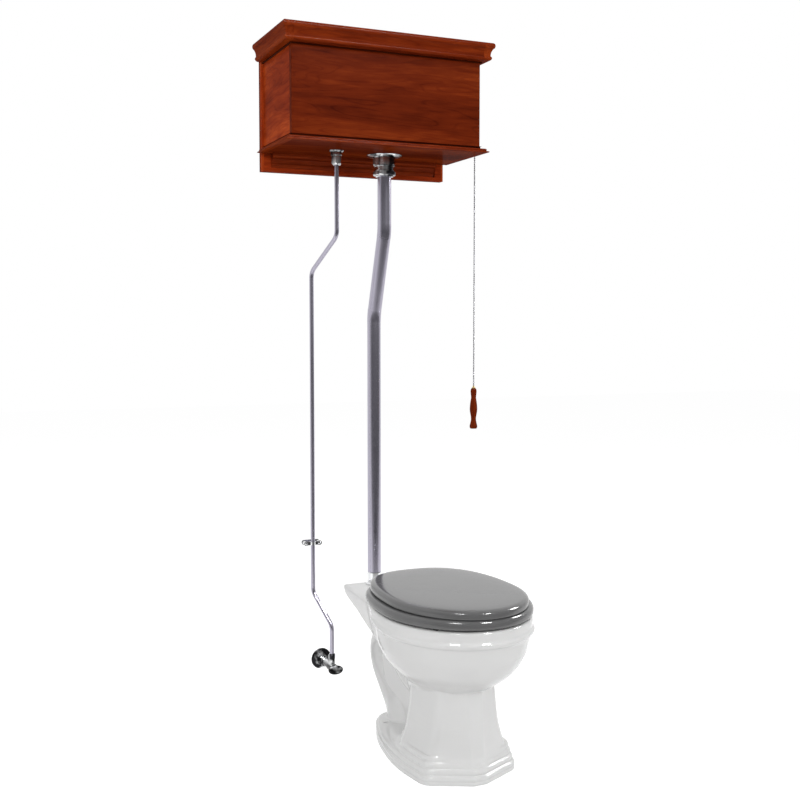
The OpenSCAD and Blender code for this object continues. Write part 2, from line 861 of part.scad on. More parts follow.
module flapper() {
    color(black) {
        translate([0, pipe_y, seat_top + lay])
            turned([[0, 0], [seat_r - 1, 0], [seat_r, 1], [seat_r - 1, 3], [17, 4], [14, 10], [0, 12]]);
        for (x = [-17, 17])
            translate([x, 0, 0])
                difference() {
                    union() {
                        translate([-1.5, flap_y, flap_z])
                            rotate([0, 90, 0])
                                cylinder(r = 6, h = 3);
                        translate([-1.5, pipe_y + 12, seat_top + 1])
                            cube([3, flap_y - pipe_y - 12, 3.4]);
                        translate([-1.5, flap_y - 6, seat_top + 1])
                            cube([3, 6, 9]);
                    }
                    translate([-5, flap_y, flap_z])
                        rotate([0, 90, 0])
                            cylinder(r = 3 + run, h = 10);
                }
        difference() {
            translate([-6, link_y - 3.5, seat_top + 3])
                cube([12, 7, link_low_z - seat_top + 0.5]);
            translate([-3.5, link_y - 10, seat_top + 12])
                cube([7, 20, 40]);
        }
        translate([-5, link_y, link_low_z])
            rotate([0, 90, 0])
                cylinder(r = 1.5, h = 10);
    }
}

module lift_link() {
    color(brass) {
        translate([-1.2, link_y, lever_shaft_z])
            rotate([0, 90, 0])
                ring(4.6, 2 + run, 2.4);
        translate([-1.2, link_y, link_low_z])
            rotate([0, 90, 0])
                ring(7, 5.2, 2.4);
        translate([0, link_y, link_low_z + 6])
            cylinder(r = 1.1, h = lever_shaft_z - link_low_z - 10);
    }
}

// Tank

corner_r = 2.5;

// A board between two places on each axis
module board(x0, x1, y0, y1, z0, z1) {
    translate([x0, y0, z0])
        cube([x1 - x0, y1 - y0, z1 - z0]);
}

module tank_front() {
    color(cherry)
        translate([0, 0, tank_z])
            linear_extrude(wall_top - tank_z)
                polygon([
                    [tank_xl, tank_yf + board_t], [tank_xl, tank_yf + corner_r],
                    [tank_xl + corner_r * 0.3, tank_yf + corner_r * 0.3], [tank_xl + corner_r, tank_yf],
                    [tank_xr - corner_r, tank_yf], [tank_xr - corner_r * 0.3, tank_yf + corner_r * 0.3],
                    [tank_xr, tank_yf + corner_r], [tank_xr, tank_yf + board_t]
                ]);
}

module tank_side_left() {
    color(cherry)
        board(tank_xl, tank_xl + board_t, tank_yf + board_t, tank_yb, tank_z, wall_top);
}

module tank_side_right() {
    color(cherry)
        difference() {
            board(tank_xr - board_t, tank_xr, tank_yf + board_t, tank_yb, tank_z, wall_top);
            translate([tank_xr - board_t - past, lever_y, lever_shaft_z])
                rotate([0, 90, 0])
                    cylinder(r = bush_r, h = board_t + 2 * past);
        }
}

module tank_back() {
    color(cherry)
        board(tank_xl + board_t, tank_xr - board_t, tank_yb - 12, tank_yb, tank_z, wall_top);
}

module tank_floor() {
    color(cherry)
        difference() {
            board(tank_xl, tank_xr, tank_yf, tank_yb, tank_under, tank_z);
            translate([0, pipe_y, tank_under - past])
                cylinder(r = tail_r + lay, h = floor_t + 2 * past);
            translate([-inlet_x, inlet_y, tank_under - past])
                cylinder(r = shank_r + lay, h = floor_t + 2 * past);
        }
}

// A straight length of moulding along +Y from its [out, up] section, which faces +X
module moulding_bar(section, l) {
    rotate([90, 0, 0])
        mirror([0, 0, 1])
            linear_extrude(l)
                polygon(section);
}

// A moulding round the tank's front and two sides, mitred at the corners
module moulding(section, z) {
    out = 60;
    high = 200;
    for (side = [-1, 1])
        translate([side < 0 ? tank_xl : tank_xr, tank_yf, z])
            mirror([side < 0 ? 1 : 0, 0, 0])
                intersection() {
                    translate([0, -out, 0])
                        moulding_bar(section, out + tank_d);
                    translate([0, 0, -high / 2])
                        linear_extrude(high)
                            polygon([[-past, past], [out, -out], [out, tank_d], [-past, tank_d]]);
                }
    translate([tank_xl, tank_yf, z])
        intersection() {
            translate([-out, 0, 0])
                rotate([0, 0, -90])
                    moulding_bar(section, tank_w + 2 * out);
            translate([0, 0, -high / 2])
                linear_extrude(high)
                    polygon([[-out, -out], [tank_w + out, -out], [tank_w - past, past], [past, past]]);
        }
}

crown_section = concat(
    [[0, 0], [crown_out * 0.40, 0], [crown_out * 0.44, 1.5]],
    through([
        [crown_out * 0.46, 4], [crown_out * 0.50, 11], [crown_out * 0.56, 18], [crown_out * 0.70, crown_h * 0.53],
        [crown_out * 0.86, crown_h * 0.64], [crown_out * 0.97, crown_h * 0.72], [crown_out, crown_h * 0.81],
        [crown_out * 0.95, crown_h * 0.91], [crown_out * 0.84, crown_h * 0.98]
    ], 2),
    [[crown_out * 0.78, crown_h], [0, crown_h]]
);

base_section = concat(
    [[0, -floor_t], [base_out - 0.8, -floor_t], [base_out, 0.8 - floor_t], [base_out, 4 - floor_t],
     [base_out - 2, 5.5 - floor_t]],
    through([[base_out * 0.86, 7 - floor_t], [base_out * 0.74, 10.5 - floor_t], [base_out * 0.5, 13.5 - floor_t],
             [base_out * 0.26, 14.8 - floor_t]], 2),
    [[base_out * 0.22, 17 - floor_t], [0, 17 - floor_t]]
);

module crown_moulding() {
    color(cherry)
        moulding(crown_section, tank_z + panel_h);
}

module base_moulding() {
    color(cherry)
        moulding(base_section, tank_z);
}

module tank_lid() {
    color(cherry)
        board(tank_xl + lay, tank_xr - lay, tank_yf + lay, tank_yb, wall_top, tank_top);
}

module lid_cleats() {
    color(cherry)
        for (x = [tank_xl + 80, tank_xr - 120])
            board(x, x + 40, tank_yf + board_t + 12, tank_yb - 24, wall_top - 14, wall_top);
}

module liner() {
    gap = 1;
    x0 = tank_xl + board_t + gap;
    x1 = tank_xr - board_t - gap;
    y0 = tank_yf + board_t + gap;
    y1 = tank_yb - 12 - gap;
    color(white)
        difference() {
            board(x0, x1, y0, y1, tank_z, tank_z + liner_h);
            board(x0 + liner_t, x1 - liner_t, y0 + liner_t, y1 - liner_t, tank_z + liner_t, tank_z + liner_h + past);
            translate([0, pipe_y, tank_z - past])
                cylinder(r = tail_r + lay, h = liner_t + 2 * past);
            translate([-inlet_x, inlet_y, tank_z - past])
                cylinder(r = shank_r + lay, h = liner_t + 2 * past);
        }
}

// Back board

board_xl = tank_xl - back_margin;
board_xr = tank_xr + back_margin;
board_z = tank_under - back_drop;
frame_t = 12;
rail_h = 11;
screw_low = tank_z + 44;
screw_high = screw_low + 160;

module back_panel() {
    color(cherry)
        difference() {
            board(board_xl, board_xr, tank_yb + frame_t, wall_y, board_z, board_z + back_h);
            for (x = [-1, 1], z = [screw_low, screw_high])
                translate([tank_x + x * screw_gap / 2, tank_yb, z])
                    rotate([-90, 0, 0])
                        cylinder(r = wall_screw_r, h = back_t + past);
        }
}

module back_frame() {
    color(cherry) {
        board(board_xl, board_xl + stile_w, tank_yb, tank_yb + frame_t, board_z, board_z + back_h);
        board(board_xr - stile_w, board_xr, tank_yb, tank_yb + frame_t, board_z, board_z + back_h);
        board(board_xl + stile_w, board_xr - stile_w, tank_yb, tank_yb + frame_t, board_z, board_z + rail_h);
        board(board_xl + stile_w, board_xr - stile_w, tank_yb, tank_yb + frame_t,
              board_z + back_h - 2 * rail_h, board_z + back_h);
    }
}

module ledger_moulding() {
    h = back_drop - rail_h;
    section = concat(
        [[0, 0], [0, h], [36, h], [36, h - 5]],
        through([[34, h - 7], [31, h - 10], [25, h - 13.5], [19, h - 18], [15, h - 24], [13.5, h - 28]], 2),
        [[13, 0]]
    );
    color(cherry)
        translate([board_xl + stile_w, tank_yb + frame_t, board_z + rail_h])
            rotate([90, 0, 90])
                linear_extrude(board_xr - board_xl - 2 * stile_w)
                    polygon([for (p = section) [-p.x, p.y]]);
}

// Fill valve

shank_r = 10.5;
riser_r = 12;
valve_base_z = tank_z + liner_t + 3;
float_h = 56;
cap_z = tank_z + 160;

module fill_valve() {
    color(white)
        translate([-inlet_x, inlet_y, 0]) {
            difference() {
                union() {
                    translate([0, 0, supply_end + 1])
                        cylinder(r = shank_r, h = valve_base_z - supply_end);
                    translate([0, 0, valve_base_z])
                        cylinder(r = 24, h = 6);
                    translate([0, 0, valve_base_z])
                        cylinder(r = riser_r, h = cap_z - valve_base_z);
                }
                translate([0, 0, supply_end])
                    cylinder(r = 5, h = cap_z - supply_end - 10);
            }
            translate([0, 0, cap_z])
                turned([[0, 0], [22, 0], [23, 1.5], [23, 14], [20, 20], [12, 23], [0, 23]]);
            translate([18, 0, cap_z + 8])
                rotate([0, 90, 0])
                    ring(3.4, 1.5, 12);
        }
}

module fill_gasket() {
    color(black)
        translate([-inlet_x, inlet_y, tank_z + liner_t])
            ring(20, shank_r + 0.05, 3);
}

module fill_float() {
    color(black)
        translate([-inlet_x, inlet_y, valve_base_z + 20])
            turned([[riser_r + 1, 0], [30, 0], [33, 3], [33, float_h - 4], [30, float_h], [riser_r + 1, float_h]]);
}

module refill_tube() {
    start = -inlet_x + 30;
    color(white)
        pipe_run([
            [start, inlet_y, cap_z + 8],
            [start + 26, inlet_y, cap_z + 8],
            [-44, overflow_y, cap_z + 30],
            [0, overflow_y, cap_z + 30],
            [0, overflow_y, overflow_top - 12]
        ], 3.2, 1.2, 12);
}

// Supply

supply_end = tank_under - 26;

module supply_escutcheon() {
    color(chrome)
        translate([-inlet_x, inlet_y, tank_under - 5])
            turned([
                [shank_r + run, 0], [14, 0], [17, 1.4], [20, 3.6], [20.5, 5], [shank_r + run, 5]
            ]);
}

module supply_locknut() {
    color(chrome)
        translate([-inlet_x, inlet_y, tank_under - 13])
            hex_nut(16.5, shank_r + run, 8);
}

module supply_nut() {
    color(chrome)
        translate([-inlet_x, inlet_y, supply_end - 12])
            difference() {
                intersection() {
                    cylinder(r = 14, h = 24, $fn = 6);
                    turned([[0, 0], [10, 0], [12.5, 3], [14, 5], [14, 22], [12.6, 24], [0, 24]]);
                }
                translate([0, 0, -past])
                    cylinder(r = tube_r + 0.1, h = 40);
                translate([0, 0, 11])
                    cylinder(r = shank_r + run, h = 40);
            }
}

module supply_tube() {
    color(satin)
        pipe_run([
            [-inlet_x, inlet_y, supply_end],
            [-inlet_x, inlet_y, tank_z - 239],
            [-tube_x, wall_y - tube_off, tank_z - 330],
            [-tube_x, wall_y - tube_off, valve_z + 200],
            [valve_x, valve_y, valve_z + 116],
            [valve_x, valve_y, valve_z + 20]
        ], tube_r, tube_wall, 32);
}

clip_gap = 39;
clip_ear = 5;

module clip_base() {
    color(chrome)
        translate([-tube_x, wall_y, clip_z])
            rotate([90, 0, 0])
                difference() {
                    union() {
                        linear_extrude(3)
                            hull() {
                                translate([-clip_gap / 2, 0])
                                    circle(7, $fn = 32);
                                translate([clip_gap / 2, 0])
                                    circle(7, $fn = 32);
                            }
                        for (x = [-1, 1])
                            translate([x * clip_gap / 2, 0, 0])
                                cylinder(r = clip_ear, h = tube_off);
                    }
                    for (x = [-1, 1])
                        translate([x * clip_gap / 2, 0, -past])
                            cylinder(r = 2 + run, h = tube_off + 2 * past);
                }
}

module clip_strap() {
    strap = 2;
    color(chrome)
        translate([-tube_x, wall_y - tube_off, clip_z])
            rotate([90, 0, 0])
                difference() {
                    union() {
                        for (x = [-1, 1])
                            translate([x * clip_gap / 2, 0, 0])
                                cylinder(r = 6.5, h = strap);
                        translate([-clip_gap / 2, -5, 0])
                            cube([clip_gap, 10, strap]);
                        translate([0, 5, 0])
                            rotate([90, 0, 0])
                                cylinder(r = tube_r + strap, h = 10);
                    }
                    translate([0, 20, 0])
                        rotate([90, 0, 0])
                            cylinder(r = tube_r + 0.05, h = 40);
                    translate([-50, -50, -100])
                        cube([100, 100, 100]);
                    for (x = [-1, 1])
                        translate([x * clip_gap / 2, 0, -past])
                            cylinder(r = 2 + run, h = 20);
                }
}

module clip_screws() {
    color(chrome)
        for (x = [-1, 1])
            translate([-tube_x + x * clip_gap / 2, wall_y - tube_off - 2, clip_z])
                rotate([-90, 0, 0])
                    union() {
                        cylinder(r = 2, h = tube_off + 2);
                        translate([0, 0, -3])
                            turned([[0, 0], [2.4, 0.2], [4, 1.2], [4.8, 3], [0, 3]]);
                    }
}

// Stop valve. Its round body lies along Y, and the outlet stands up from it.

body_r = 11.5;
stop_front = valve_y - 16;

module along_valve(y) {
    translate([valve_x, y, valve_z])
        rotate([90, 0, 0])
            children();
}

module valve_flange() {
    color(chrome)
        along_valve(wall_y)
            turned([
                [body_r + 0.1, 0], [29, 0], [29.5, 1], [28.5, 2.4], [24, 4.5], [18, 6], [14.5, 7.5],
                [14, 10], [body_r + 0.1, 10]
            ]);
}

module valve_body() {
    length = wall_y - stop_front;
    color(chrome)
        difference() {
            union() {
                along_valve(wall_y)
                    turned([
                        [0, 0], [body_r, 0], [body_r, 34], [body_r + 1.5, 35], [body_r + 1.5, 39], [body_r - 1, 41],
                        [body_r - 1, length - 30], [body_r + 1, length - 28], [body_r + 1, length - 2],
                        [body_r, length], [0, length]
                    ]);
                translate([valve_x, valve_y, valve_z])
                    cylinder(r = 8, h = 24);
            }
            along_valve(wall_y + past)
                cylinder(r = inlet_bore_r, h = 16 + past);
            along_valve(wall_y)
                cylinder(r = 5, h = length - 18);
            along_valve(stop_front + 12)
                cylinder(r = 4 + run, h = 12 + past);
            translate([valve_x, valve_y, valve_z])
                cylinder(r = 5, h = 40);
            translate([valve_x, valve_y, valve_z + 14])
                cylinder(r = tube_r + 0.1, h = 40);
        }
}

inlet_bore_r = 9.3;

module outlet_nut() {
    color(chrome)
        translate([valve_x, valve_y, valve_z + 24])
            difference() {
                intersection() {
                    cylinder(r = 10, h = 14, $fn = 6);
                    turned([[0, 0], [9, 0], [10, 1.4], [10, 10], [7.6, 14], [0, 14]]);
                }
                translate([0, 0, -past])
                    cylinder(r = tube_r + 0.1, h = 40);
            }
}

handle_y = stop_front - 4;

module valve_stem() {
    color(chrome)
        along_valve(stop_front + 10)
            cylinder(r = 4, h = 16);
}

module valve_handle() {
    color(chrome)
        along_valve(handle_y)
            difference() {
                union() {
                    cylinder(r1 = 7.5, r2 = 9, h = 4);
                    translate([0, 0, 4])
                        oval();
                }
                translate([0, 0, -past])
                    cylinder(r = 4 + 0.02, h = 2 + past);
            }
}

// The oval grip: an oval block whose rims are rounded
module oval() {
    loft([
        for (s = [[-4, 0], [-1, 1.2], [0, 4], [0, 8], [-1.2, 10.6], [-4, 12]])
            [for (i = [0 : 39]) [(21 + s[0]) * cos(9 * i), (12.5 + s[0]) * sin(9 * i), s[1]]]
    ]);
}

// Lever, chain and handle

bush_r = 9;
shaft_r = 5;
chain_x = tank_xr + chain_out;
chain_y = lever_y - outer_arm;
hook_pin_r = 2.5;

module lever_bushing() {
    flange = 3;
    color(brass)
        translate([tank_xr - board_t, lever_y, lever_shaft_z])
            rotate([0, 90, 0])
                difference() {
                    union() {
                        cylinder(r = bush_r - 0.1, h = board_t + flange);
                        translate([0, 0, board_t])
                            cylinder(r = 13, h = flange);
                    }
                    translate([0, 0, -past])
                        cylinder(r = shaft_r + run, h = 40);
                }
}

shaft_in = -14;

module lever_shaft() {
    color(brass)
        translate([shaft_in, lever_y, lever_shaft_z])
            rotate([0, 90, 0])
                cylinder(r = shaft_r, h = tank_xr + 16 - shaft_in);
}

// A flat arm with a round boss at the shaft and a round end
module arm(length, boss_r, end_r, t) {
    hull() {
        cylinder(r = boss_r * 0.72, h = t, $fn = 32);
        translate([length, 0, 0])
            cylinder(r = end_r, h = t, $fn = 32);
    }
}

module lever_arm_outer() {
    t = 7;
    x = tank_xr + 6;
    color(brass)
        difference() {
            union() {
                translate([x, lever_y, lever_shaft_z])
                    rotate([0, 90, 0])
                        cylinder(r = 9, h = t + 2);
                translate([x, lever_y, lever_shaft_z])
                    rotate([90, 0, -90])
                        mirror([0, 0, 1])
                            arm(outer_arm, 9, 5, t);
                translate([x, chain_y, lever_shaft_z])
                    rotate([0, 90, 0])
                        cylinder(r = hook_pin_r, h = chain_x + 4 - x);
                translate([chain_x + 3.2, chain_y, lever_shaft_z])
                    rotate([0, 90, 0])
                        cylinder(r = 4.2, h = 2);
            }
            translate([x - past, lever_y, lever_shaft_z])
                rotate([0, 90, 0])
                    cylinder(r = shaft_r, h = 30);
        }
}

module lever_arm_inner() {
    t = 7;
    x = -12;
    color(brass)
        difference() {
            union() {
                translate([x, lever_y, lever_shaft_z])
                    rotate([0, 90, 0])
                        cylinder(r = 9, h = t);
                translate([x, lever_y, lever_shaft_z])
                    rotate([90, 0, 90])
                        arm(inner_arm, 9, 4.5, t);
                translate([x, link_y, lever_shaft_z])
                    rotate([0, 90, 0])
                        cylinder(r = 2, h = 18);
                translate([3, link_y, lever_shaft_z])
                    rotate([0, 90, 0])
                        cylinder(r = 3.6, h = 2);
            }
            translate([x - past, lever_y, lever_shaft_z])
                rotate([0, 90, 0])
                    cylinder(r = shaft_r, h = 30);
        }
}

// A bracket on the tank's back wall carries the shaft's inner end.
module shaft_bracket() {
    x = 16;
    t = 6;
    back = tank_yb - 12;
    color(brass)
        difference() {
            union() {
                translate([x, lever_y, lever_shaft_z])
                    rotate([0, 90, 0])
                        cylinder(r = 11, h = t);
                board(x, x + t, lever_y, back, lever_shaft_z - 6, lever_shaft_z + 6);
                board(x - 12, x + t + 12, back - 3, back, lever_shaft_z - 14, lever_shaft_z + 14);
            }
            translate([x - past, lever_y, lever_shaft_z])
                rotate([0, 90, 0])
                    cylinder(r = shaft_r + run, h = t + 2 * past);
        }
}

chain_top = lever_shaft_z - 12;
chain_low = chain_top - bead_count * bead_pitch;

module chain_hook() {
    color(brass)
        translate([chain_x, chain_y, 0]) {
            translate([-2.5, 0, lever_shaft_z])
                rotate([0, 90, 0])
                    ring(5, hook_pin_r + run, 5);
            difference() {
                translate([0, 0, chain_top])
                    cylinder(r = 2.4, h = 12 - 3.6);
                translate([-5, 0, lever_shaft_z])
                    rotate([0, 90, 0])
                        cylinder(r = hook_pin_r + run, h = 10);
            }
        }
}

// Round beads on a fine wire
module pull_chain() {
    wire_r = 0.8;
    color(satin)
        translate([chain_x, chain_y, chain_low])
            rotate_extrude($fn = 24)
                intersection() {
                    union() {
                        square([wire_r, bead_count * bead_pitch]);
                        for (k = [0 : bead_count - 1])
                            translate([0, (k + 0.5) * bead_pitch])
                                circle(bead_r, $fn = 24);
                    }
                    square([bead_r + 1, bead_count * bead_pitch]);
                }
}

module handle_cap() {
    color(brass)
        translate([chain_x, chain_y, chain_low - 7])
            turned([[0, 0], [5, 0], [5.4, 1], [5, 2.4], [3.2, 4], [2.4, 7], [0, 7]]);
}

handle_profile = through([
    [handle_r * 0.80, 0], [handle_r * 0.98, 0.03], [handle_r, 0.07], [handle_r * 0.85, 0.13], [handle_r * 0.68, 0.21],
    [handle_r * 0.70, 0.29], [handle_r * 0.94, 0.42], [handle_r * 0.99, 0.52], [handle_r * 0.84, 0.66],
    [handle_r * 0.66, 0.77], [handle_r * 0.74, 0.85], [handle_r * 0.80, 0.92], [handle_r * 0.74, 0.97],
    [handle_r * 0.55, 1]
], 3);

module pull_handle() {
    color(cherry)
        translate([chain_x, chain_y, chain_low - 7 - handle_l])
            turned(concat([[0, 0]], [for (p = handle_profile) [p.x, p.y * handle_l]], [[0, handle_l]]));
}

bowl();
ring_hinges();
lid_hinges();
hinge_pin();
hinge_posts();
seat_bolts();
seat_ring();
seat_lid();
ring_bumpers();
lid_bumpers();
spud_washer();
spud_collar();
flush_pipe();
slip_nut();
slip_washer();
flush_locknut();
flush_flange();
flush_valve();
flush_gasket();
overflow_tube();
flapper();
lift_link();
tank_front();
tank_side_left();
tank_side_right();
tank_back();
tank_floor();
crown_moulding();
base_moulding();
tank_lid();
lid_cleats();
liner();
back_panel();
back_frame();
ledger_moulding();
fill_valve();
fill_gasket();
fill_float();
refill_tube();
supply_escutcheon();
supply_locknut();
supply_nut();
supply_tube();
clip_base();
clip_strap();
clip_screws();
valve_flange();
valve_body();
outlet_nut();
valve_stem();
valve_handle();
lever_bushing();
lever_shaft();
lever_arm_outer();
lever_arm_inner();
shaft_bracket();
chain_hook();
pull_chain();
handle_cap();
pull_handle();
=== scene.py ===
# Looks of the high-tank pull-chain toilet. Outlines are in millimetres, the scene is in metres.
import json
import math

import bmesh
import bpy
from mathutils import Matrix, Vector


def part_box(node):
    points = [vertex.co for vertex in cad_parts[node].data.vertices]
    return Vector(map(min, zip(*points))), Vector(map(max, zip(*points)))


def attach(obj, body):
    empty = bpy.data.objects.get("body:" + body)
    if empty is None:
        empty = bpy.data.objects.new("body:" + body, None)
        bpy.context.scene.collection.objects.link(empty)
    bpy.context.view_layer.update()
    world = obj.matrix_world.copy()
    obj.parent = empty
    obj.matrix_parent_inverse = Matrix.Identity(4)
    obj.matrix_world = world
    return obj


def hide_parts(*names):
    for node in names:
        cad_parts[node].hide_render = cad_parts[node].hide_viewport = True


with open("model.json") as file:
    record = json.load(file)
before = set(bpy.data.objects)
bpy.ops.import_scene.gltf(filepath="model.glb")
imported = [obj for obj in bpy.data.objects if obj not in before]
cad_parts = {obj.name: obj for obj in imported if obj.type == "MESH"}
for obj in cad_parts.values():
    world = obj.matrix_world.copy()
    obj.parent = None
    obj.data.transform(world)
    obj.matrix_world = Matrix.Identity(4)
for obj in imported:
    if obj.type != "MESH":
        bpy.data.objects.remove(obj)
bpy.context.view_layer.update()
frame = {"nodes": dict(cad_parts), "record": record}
nodes = frame["nodes"]
scene = bpy.context.scene
MM = 0.001

# Sizes shared with the solids, in millimetres
RIM_H = 385
RIM_HALF_W = 186
RIM_FRONT = 455
RIM_BACK = 62
MOUTH_HALF_W = 124
CHINA_T = 11
FOOT_HALF_W = 146
FOOT_FRONT = 388
FOOT_BACK = 100
FOOT_PLINTH = 8
NOSE_HALF_W = 17
RIB_COUNT = 4
RIB_H = 14.5
LEDGE_H = 340
LEDGE_HALF_W = 84
LEDGE_Y = 299
TRAP_R = 28
OUTLET_R = 30
BOLT_HALF_GAP = 76.2
BOLT_HOLE_R = 6.5
SEAT_BOLT_HALF_GAP = 72
SEAT_BOLT_HOLE_R = 7.5
HINGE_Y = 46
SPUD_R = 22.5
SPUD_Y = 266
TAIL_R = 24
WAIST_Z = RIM_H * 0.575
FOOT_H = RIB_COUNT * RIB_H + FOOT_PLINTH
RIDGE_Z = RIM_H - 37
RIM_WIDE_Y = -RIM_FRONT + RIM_HALF_W * 1.14

# Places of the tank's boards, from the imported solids
tank_low, tank_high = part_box("tank_front")
TANK_XL, TANK_YF, PANEL_Z = [v / MM for v in tank_low]
TANK_XR = tank_high[0] / MM
TANK_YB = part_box("tank_side_left")[1][1] / MM
CROWN_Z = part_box("crown_moulding")[0][2] / MM


# Outlines and lofts

def mixed(a, b, t):
    return a + (b - a) * t


def signed_pow(v, p):
    return math.copysign(abs(v) ** p, v)


def egg(half_w, y_front, y_wide, y_back, z, count=144, fullness=2.5):
    points = []
    for i in range(count):
        c = math.cos(2 * math.pi * i / count)
        s = math.sin(2 * math.pi * i / count)
        if s < 0:
            points.append((half_w * c, y_wide + (y_wide - y_front) * s, z))
        else:
            x = half_w * signed_pow(c, 2 / fullness)
            points.append((x, y_wide + (y_back - y_wide) * s ** (2 / fullness), z))
    return points


def soft_corners(corners, cut, steps):
    count = len(corners)
    points = []
    for i, corner in enumerate(corners):
        p = Vector(corner)
        before = Vector(corners[i - 1]) - p
        after = Vector(corners[(i + 1) % count]) - p
        a = p + before.normalized() * min(cut[i], before.length * 0.48)
        b = p + after.normalized() * min(cut[i], after.length * 0.48)
        for k in range(steps + 1):
            t = k / steps
            points.append(a * (1 - t) ** 2 + p * (2 * t * (1 - t)) + b * t * t)
    return points


def through(points, steps):
    curve = []
    last = len(points) - 1
    for i in range(last):
        p0 = points[max(i - 1, 0)]
        p1 = points[i]
        p2 = points[i + 1]
        p3 = points[min(i + 2, last)]
        for k in range(steps):
            t = k / steps
            curve.append(tuple(
                0.5 * (2 * b + (c - a) * t + (2 * a - 5 * b + 4 * c - d) * t * t
                       + (3 * b - a - 3 * c + d) * t ** 3)
                for a, b, c, d in zip(p0, p1, p2, p3)))
    curve.append(tuple(points[last]))
    return curve


def turned(count):
    return [2 * math.pi * i / count for i in range(count)]


def circle(x, y, z, r, count=48):
    return [(x + r * math.cos(a), y + r * math.sin(a), z) for a in turned(count)]


def mesh_object(name, points, faces):
    mesh = bpy.data.meshes.new(name)
    mesh.from_pydata([tuple(v * MM for v in p) for p in points], [], faces)
    mesh.validate()
    obj = bpy.data.objects.new(name, mesh)
    scene.collection.objects.link(obj)
    tidy = bmesh.new()
    tidy.from_mesh(mesh)
    bmesh.ops.remove_doubles(tidy, verts=tidy.verts, dist=1e-6)
    bmesh.ops.recalc_face_normals(tidy, faces=tidy.faces)
    tidy.to_mesh(mesh)
    tidy.free()
    return obj


def loft(name, rings, closed=False):
    count = len(rings[0])
    points = [p for ring in rings for p in ring]
    faces = []
    for i in range(len(rings) if closed else len(rings) - 1):
        here = i * count
        there = ((i + 1) % len(rings)) * count
        for j in range(count):
            k = (j + 1) % count
            faces.append((here + j, here + k, there + k, there + j))
    if not closed:
        faces.append(tuple(range(count)))
        top = (len(rings) - 1) * count
        faces.append(tuple(range(top, top + count)))
    return mesh_object(name, points, faces)


def cylinder(name, x, y, z0, z1, r):
    return loft(name, [circle(x, y, z, r) for z in (z0, z1)])


def bake(obj):
    graph = bpy.context.evaluated_depsgraph_get()
    mesh = bpy.data.meshes.new_from_object(obj.evaluated_get(graph))
    obj.modifiers.clear()
    obj.data = mesh


def combine(base, other, operation):
    step = base.modifiers.new("combine", "BOOLEAN")
    step.object = other
    step.operation = operation
    step.solver = "MANIFOLD"
    bake(base)
    bpy.data.objects.remove(other)


def shade_smooth(obj):
    for face in obj.data.polygons:
        face.use_smooth = True


# Camera

CAMERA_PLACE = (-1.1899, -2.6172, 1.0769)
CAMERA_DOWN = 0.0669
CAMERA_TURN = -0.415
CAMERA_LENS = 49.565

camera_data = bpy.data.cameras.new("camera")
camera_data.lens = CAMERA_LENS
camera_data.sensor_width = 36
camera_data.sensor_fit = "HORIZONTAL"
camera = bpy.data.objects.new("camera", camera_data)
camera.location = CAMERA_PLACE
camera.rotation_euler = (math.pi / 2 - CAMERA_DOWN, 0, CAMERA_TURN)
scene.collection.objects.link(camera)
scene.camera = camera


# Node trees of the materials, the floor and the world

class NodeTree:
    def __init__(self, tree):
        self.tree = tree
        self.coords = self.node("ShaderNodeTexCoord").outputs
        self.place = self.coords["Object"]

    def node(self, kind, **values):
        made = self.tree.nodes.new(kind)
        for key, value in values.items():
            setattr(made, key, value)
        return made

    def link(self, a, b):
        self.tree.links.new(a, b)

    def feed(self, socket, value):
        if isinstance(value, bpy.types.NodeSocket):
            self.link(value, socket)
        else:
            socket.default_value = value

    def math(self, operation, *values):
        made = self.node("ShaderNodeMath", operation=operation)
        for socket, value in zip(made.inputs, values):
            self.feed(socket, value)
        return made.outputs[0]

    def axis(self, vector, name):
        made = self.node("ShaderNodeSeparateXYZ")
        self.link(vector, made.inputs["Vector"])
        return made.outputs[name]

    def stretched(self, scale):
        made = self.node("ShaderNodeMapping")
        made.inputs["Scale"].default_value = scale
        self.link(self.place, made.inputs["Vector"])
        return made.outputs["Vector"]

    def noise(self, scale, detail=3.0, vector=None, distortion=0.0):
        made = self.node("ShaderNodeTexNoise")
        made.inputs["Scale"].default_value = scale
        made.inputs["Detail"].default_value = detail
        made.inputs["Distortion"].default_value = distortion
        self.link(vector or self.place, made.inputs["Vector"])
        return made.outputs["Fac"]

    def ramp(self, source, stops):
        made = self.node("ShaderNodeValToRGB")
        made.color_ramp.elements[0].position = stops[0][0]
        made.color_ramp.elements[1].position = stops[-1][0]
        for stop in stops[1:-1]:
            made.color_ramp.elements.new(stop[0])
        for element, stop in zip(made.color_ramp.elements, stops):
            element.color = (*stop[1], 1)
        self.link(source, made.inputs["Fac"])
        return made.outputs["Color"]

    def spread(self, source, low, high, start=0.3, end=0.7, curve="LINEAR"):
        made = self.node("ShaderNodeMapRange", interpolation_type=curve)
        made.inputs["From Min"].default_value = start
        made.inputs["From Max"].default_value = end
        made.inputs["To Min"].default_value = low
        made.inputs["To Max"].default_value = high
        self.link(source, made.inputs["Value"])
        return made.outputs["Result"]

    def shader(self, kind, **values):
        made = self.node(kind)
        for name, value in values.items():
            self.feed(made.inputs[name], value)
        return made.outputs[0]

    def either(self, fac, a, b):
        made = self.node("ShaderNodeMixShader")
        for socket, value in zip(made.inputs, (fac, a, b)):
            self.link(value, socket)
        return made.outputs[0]


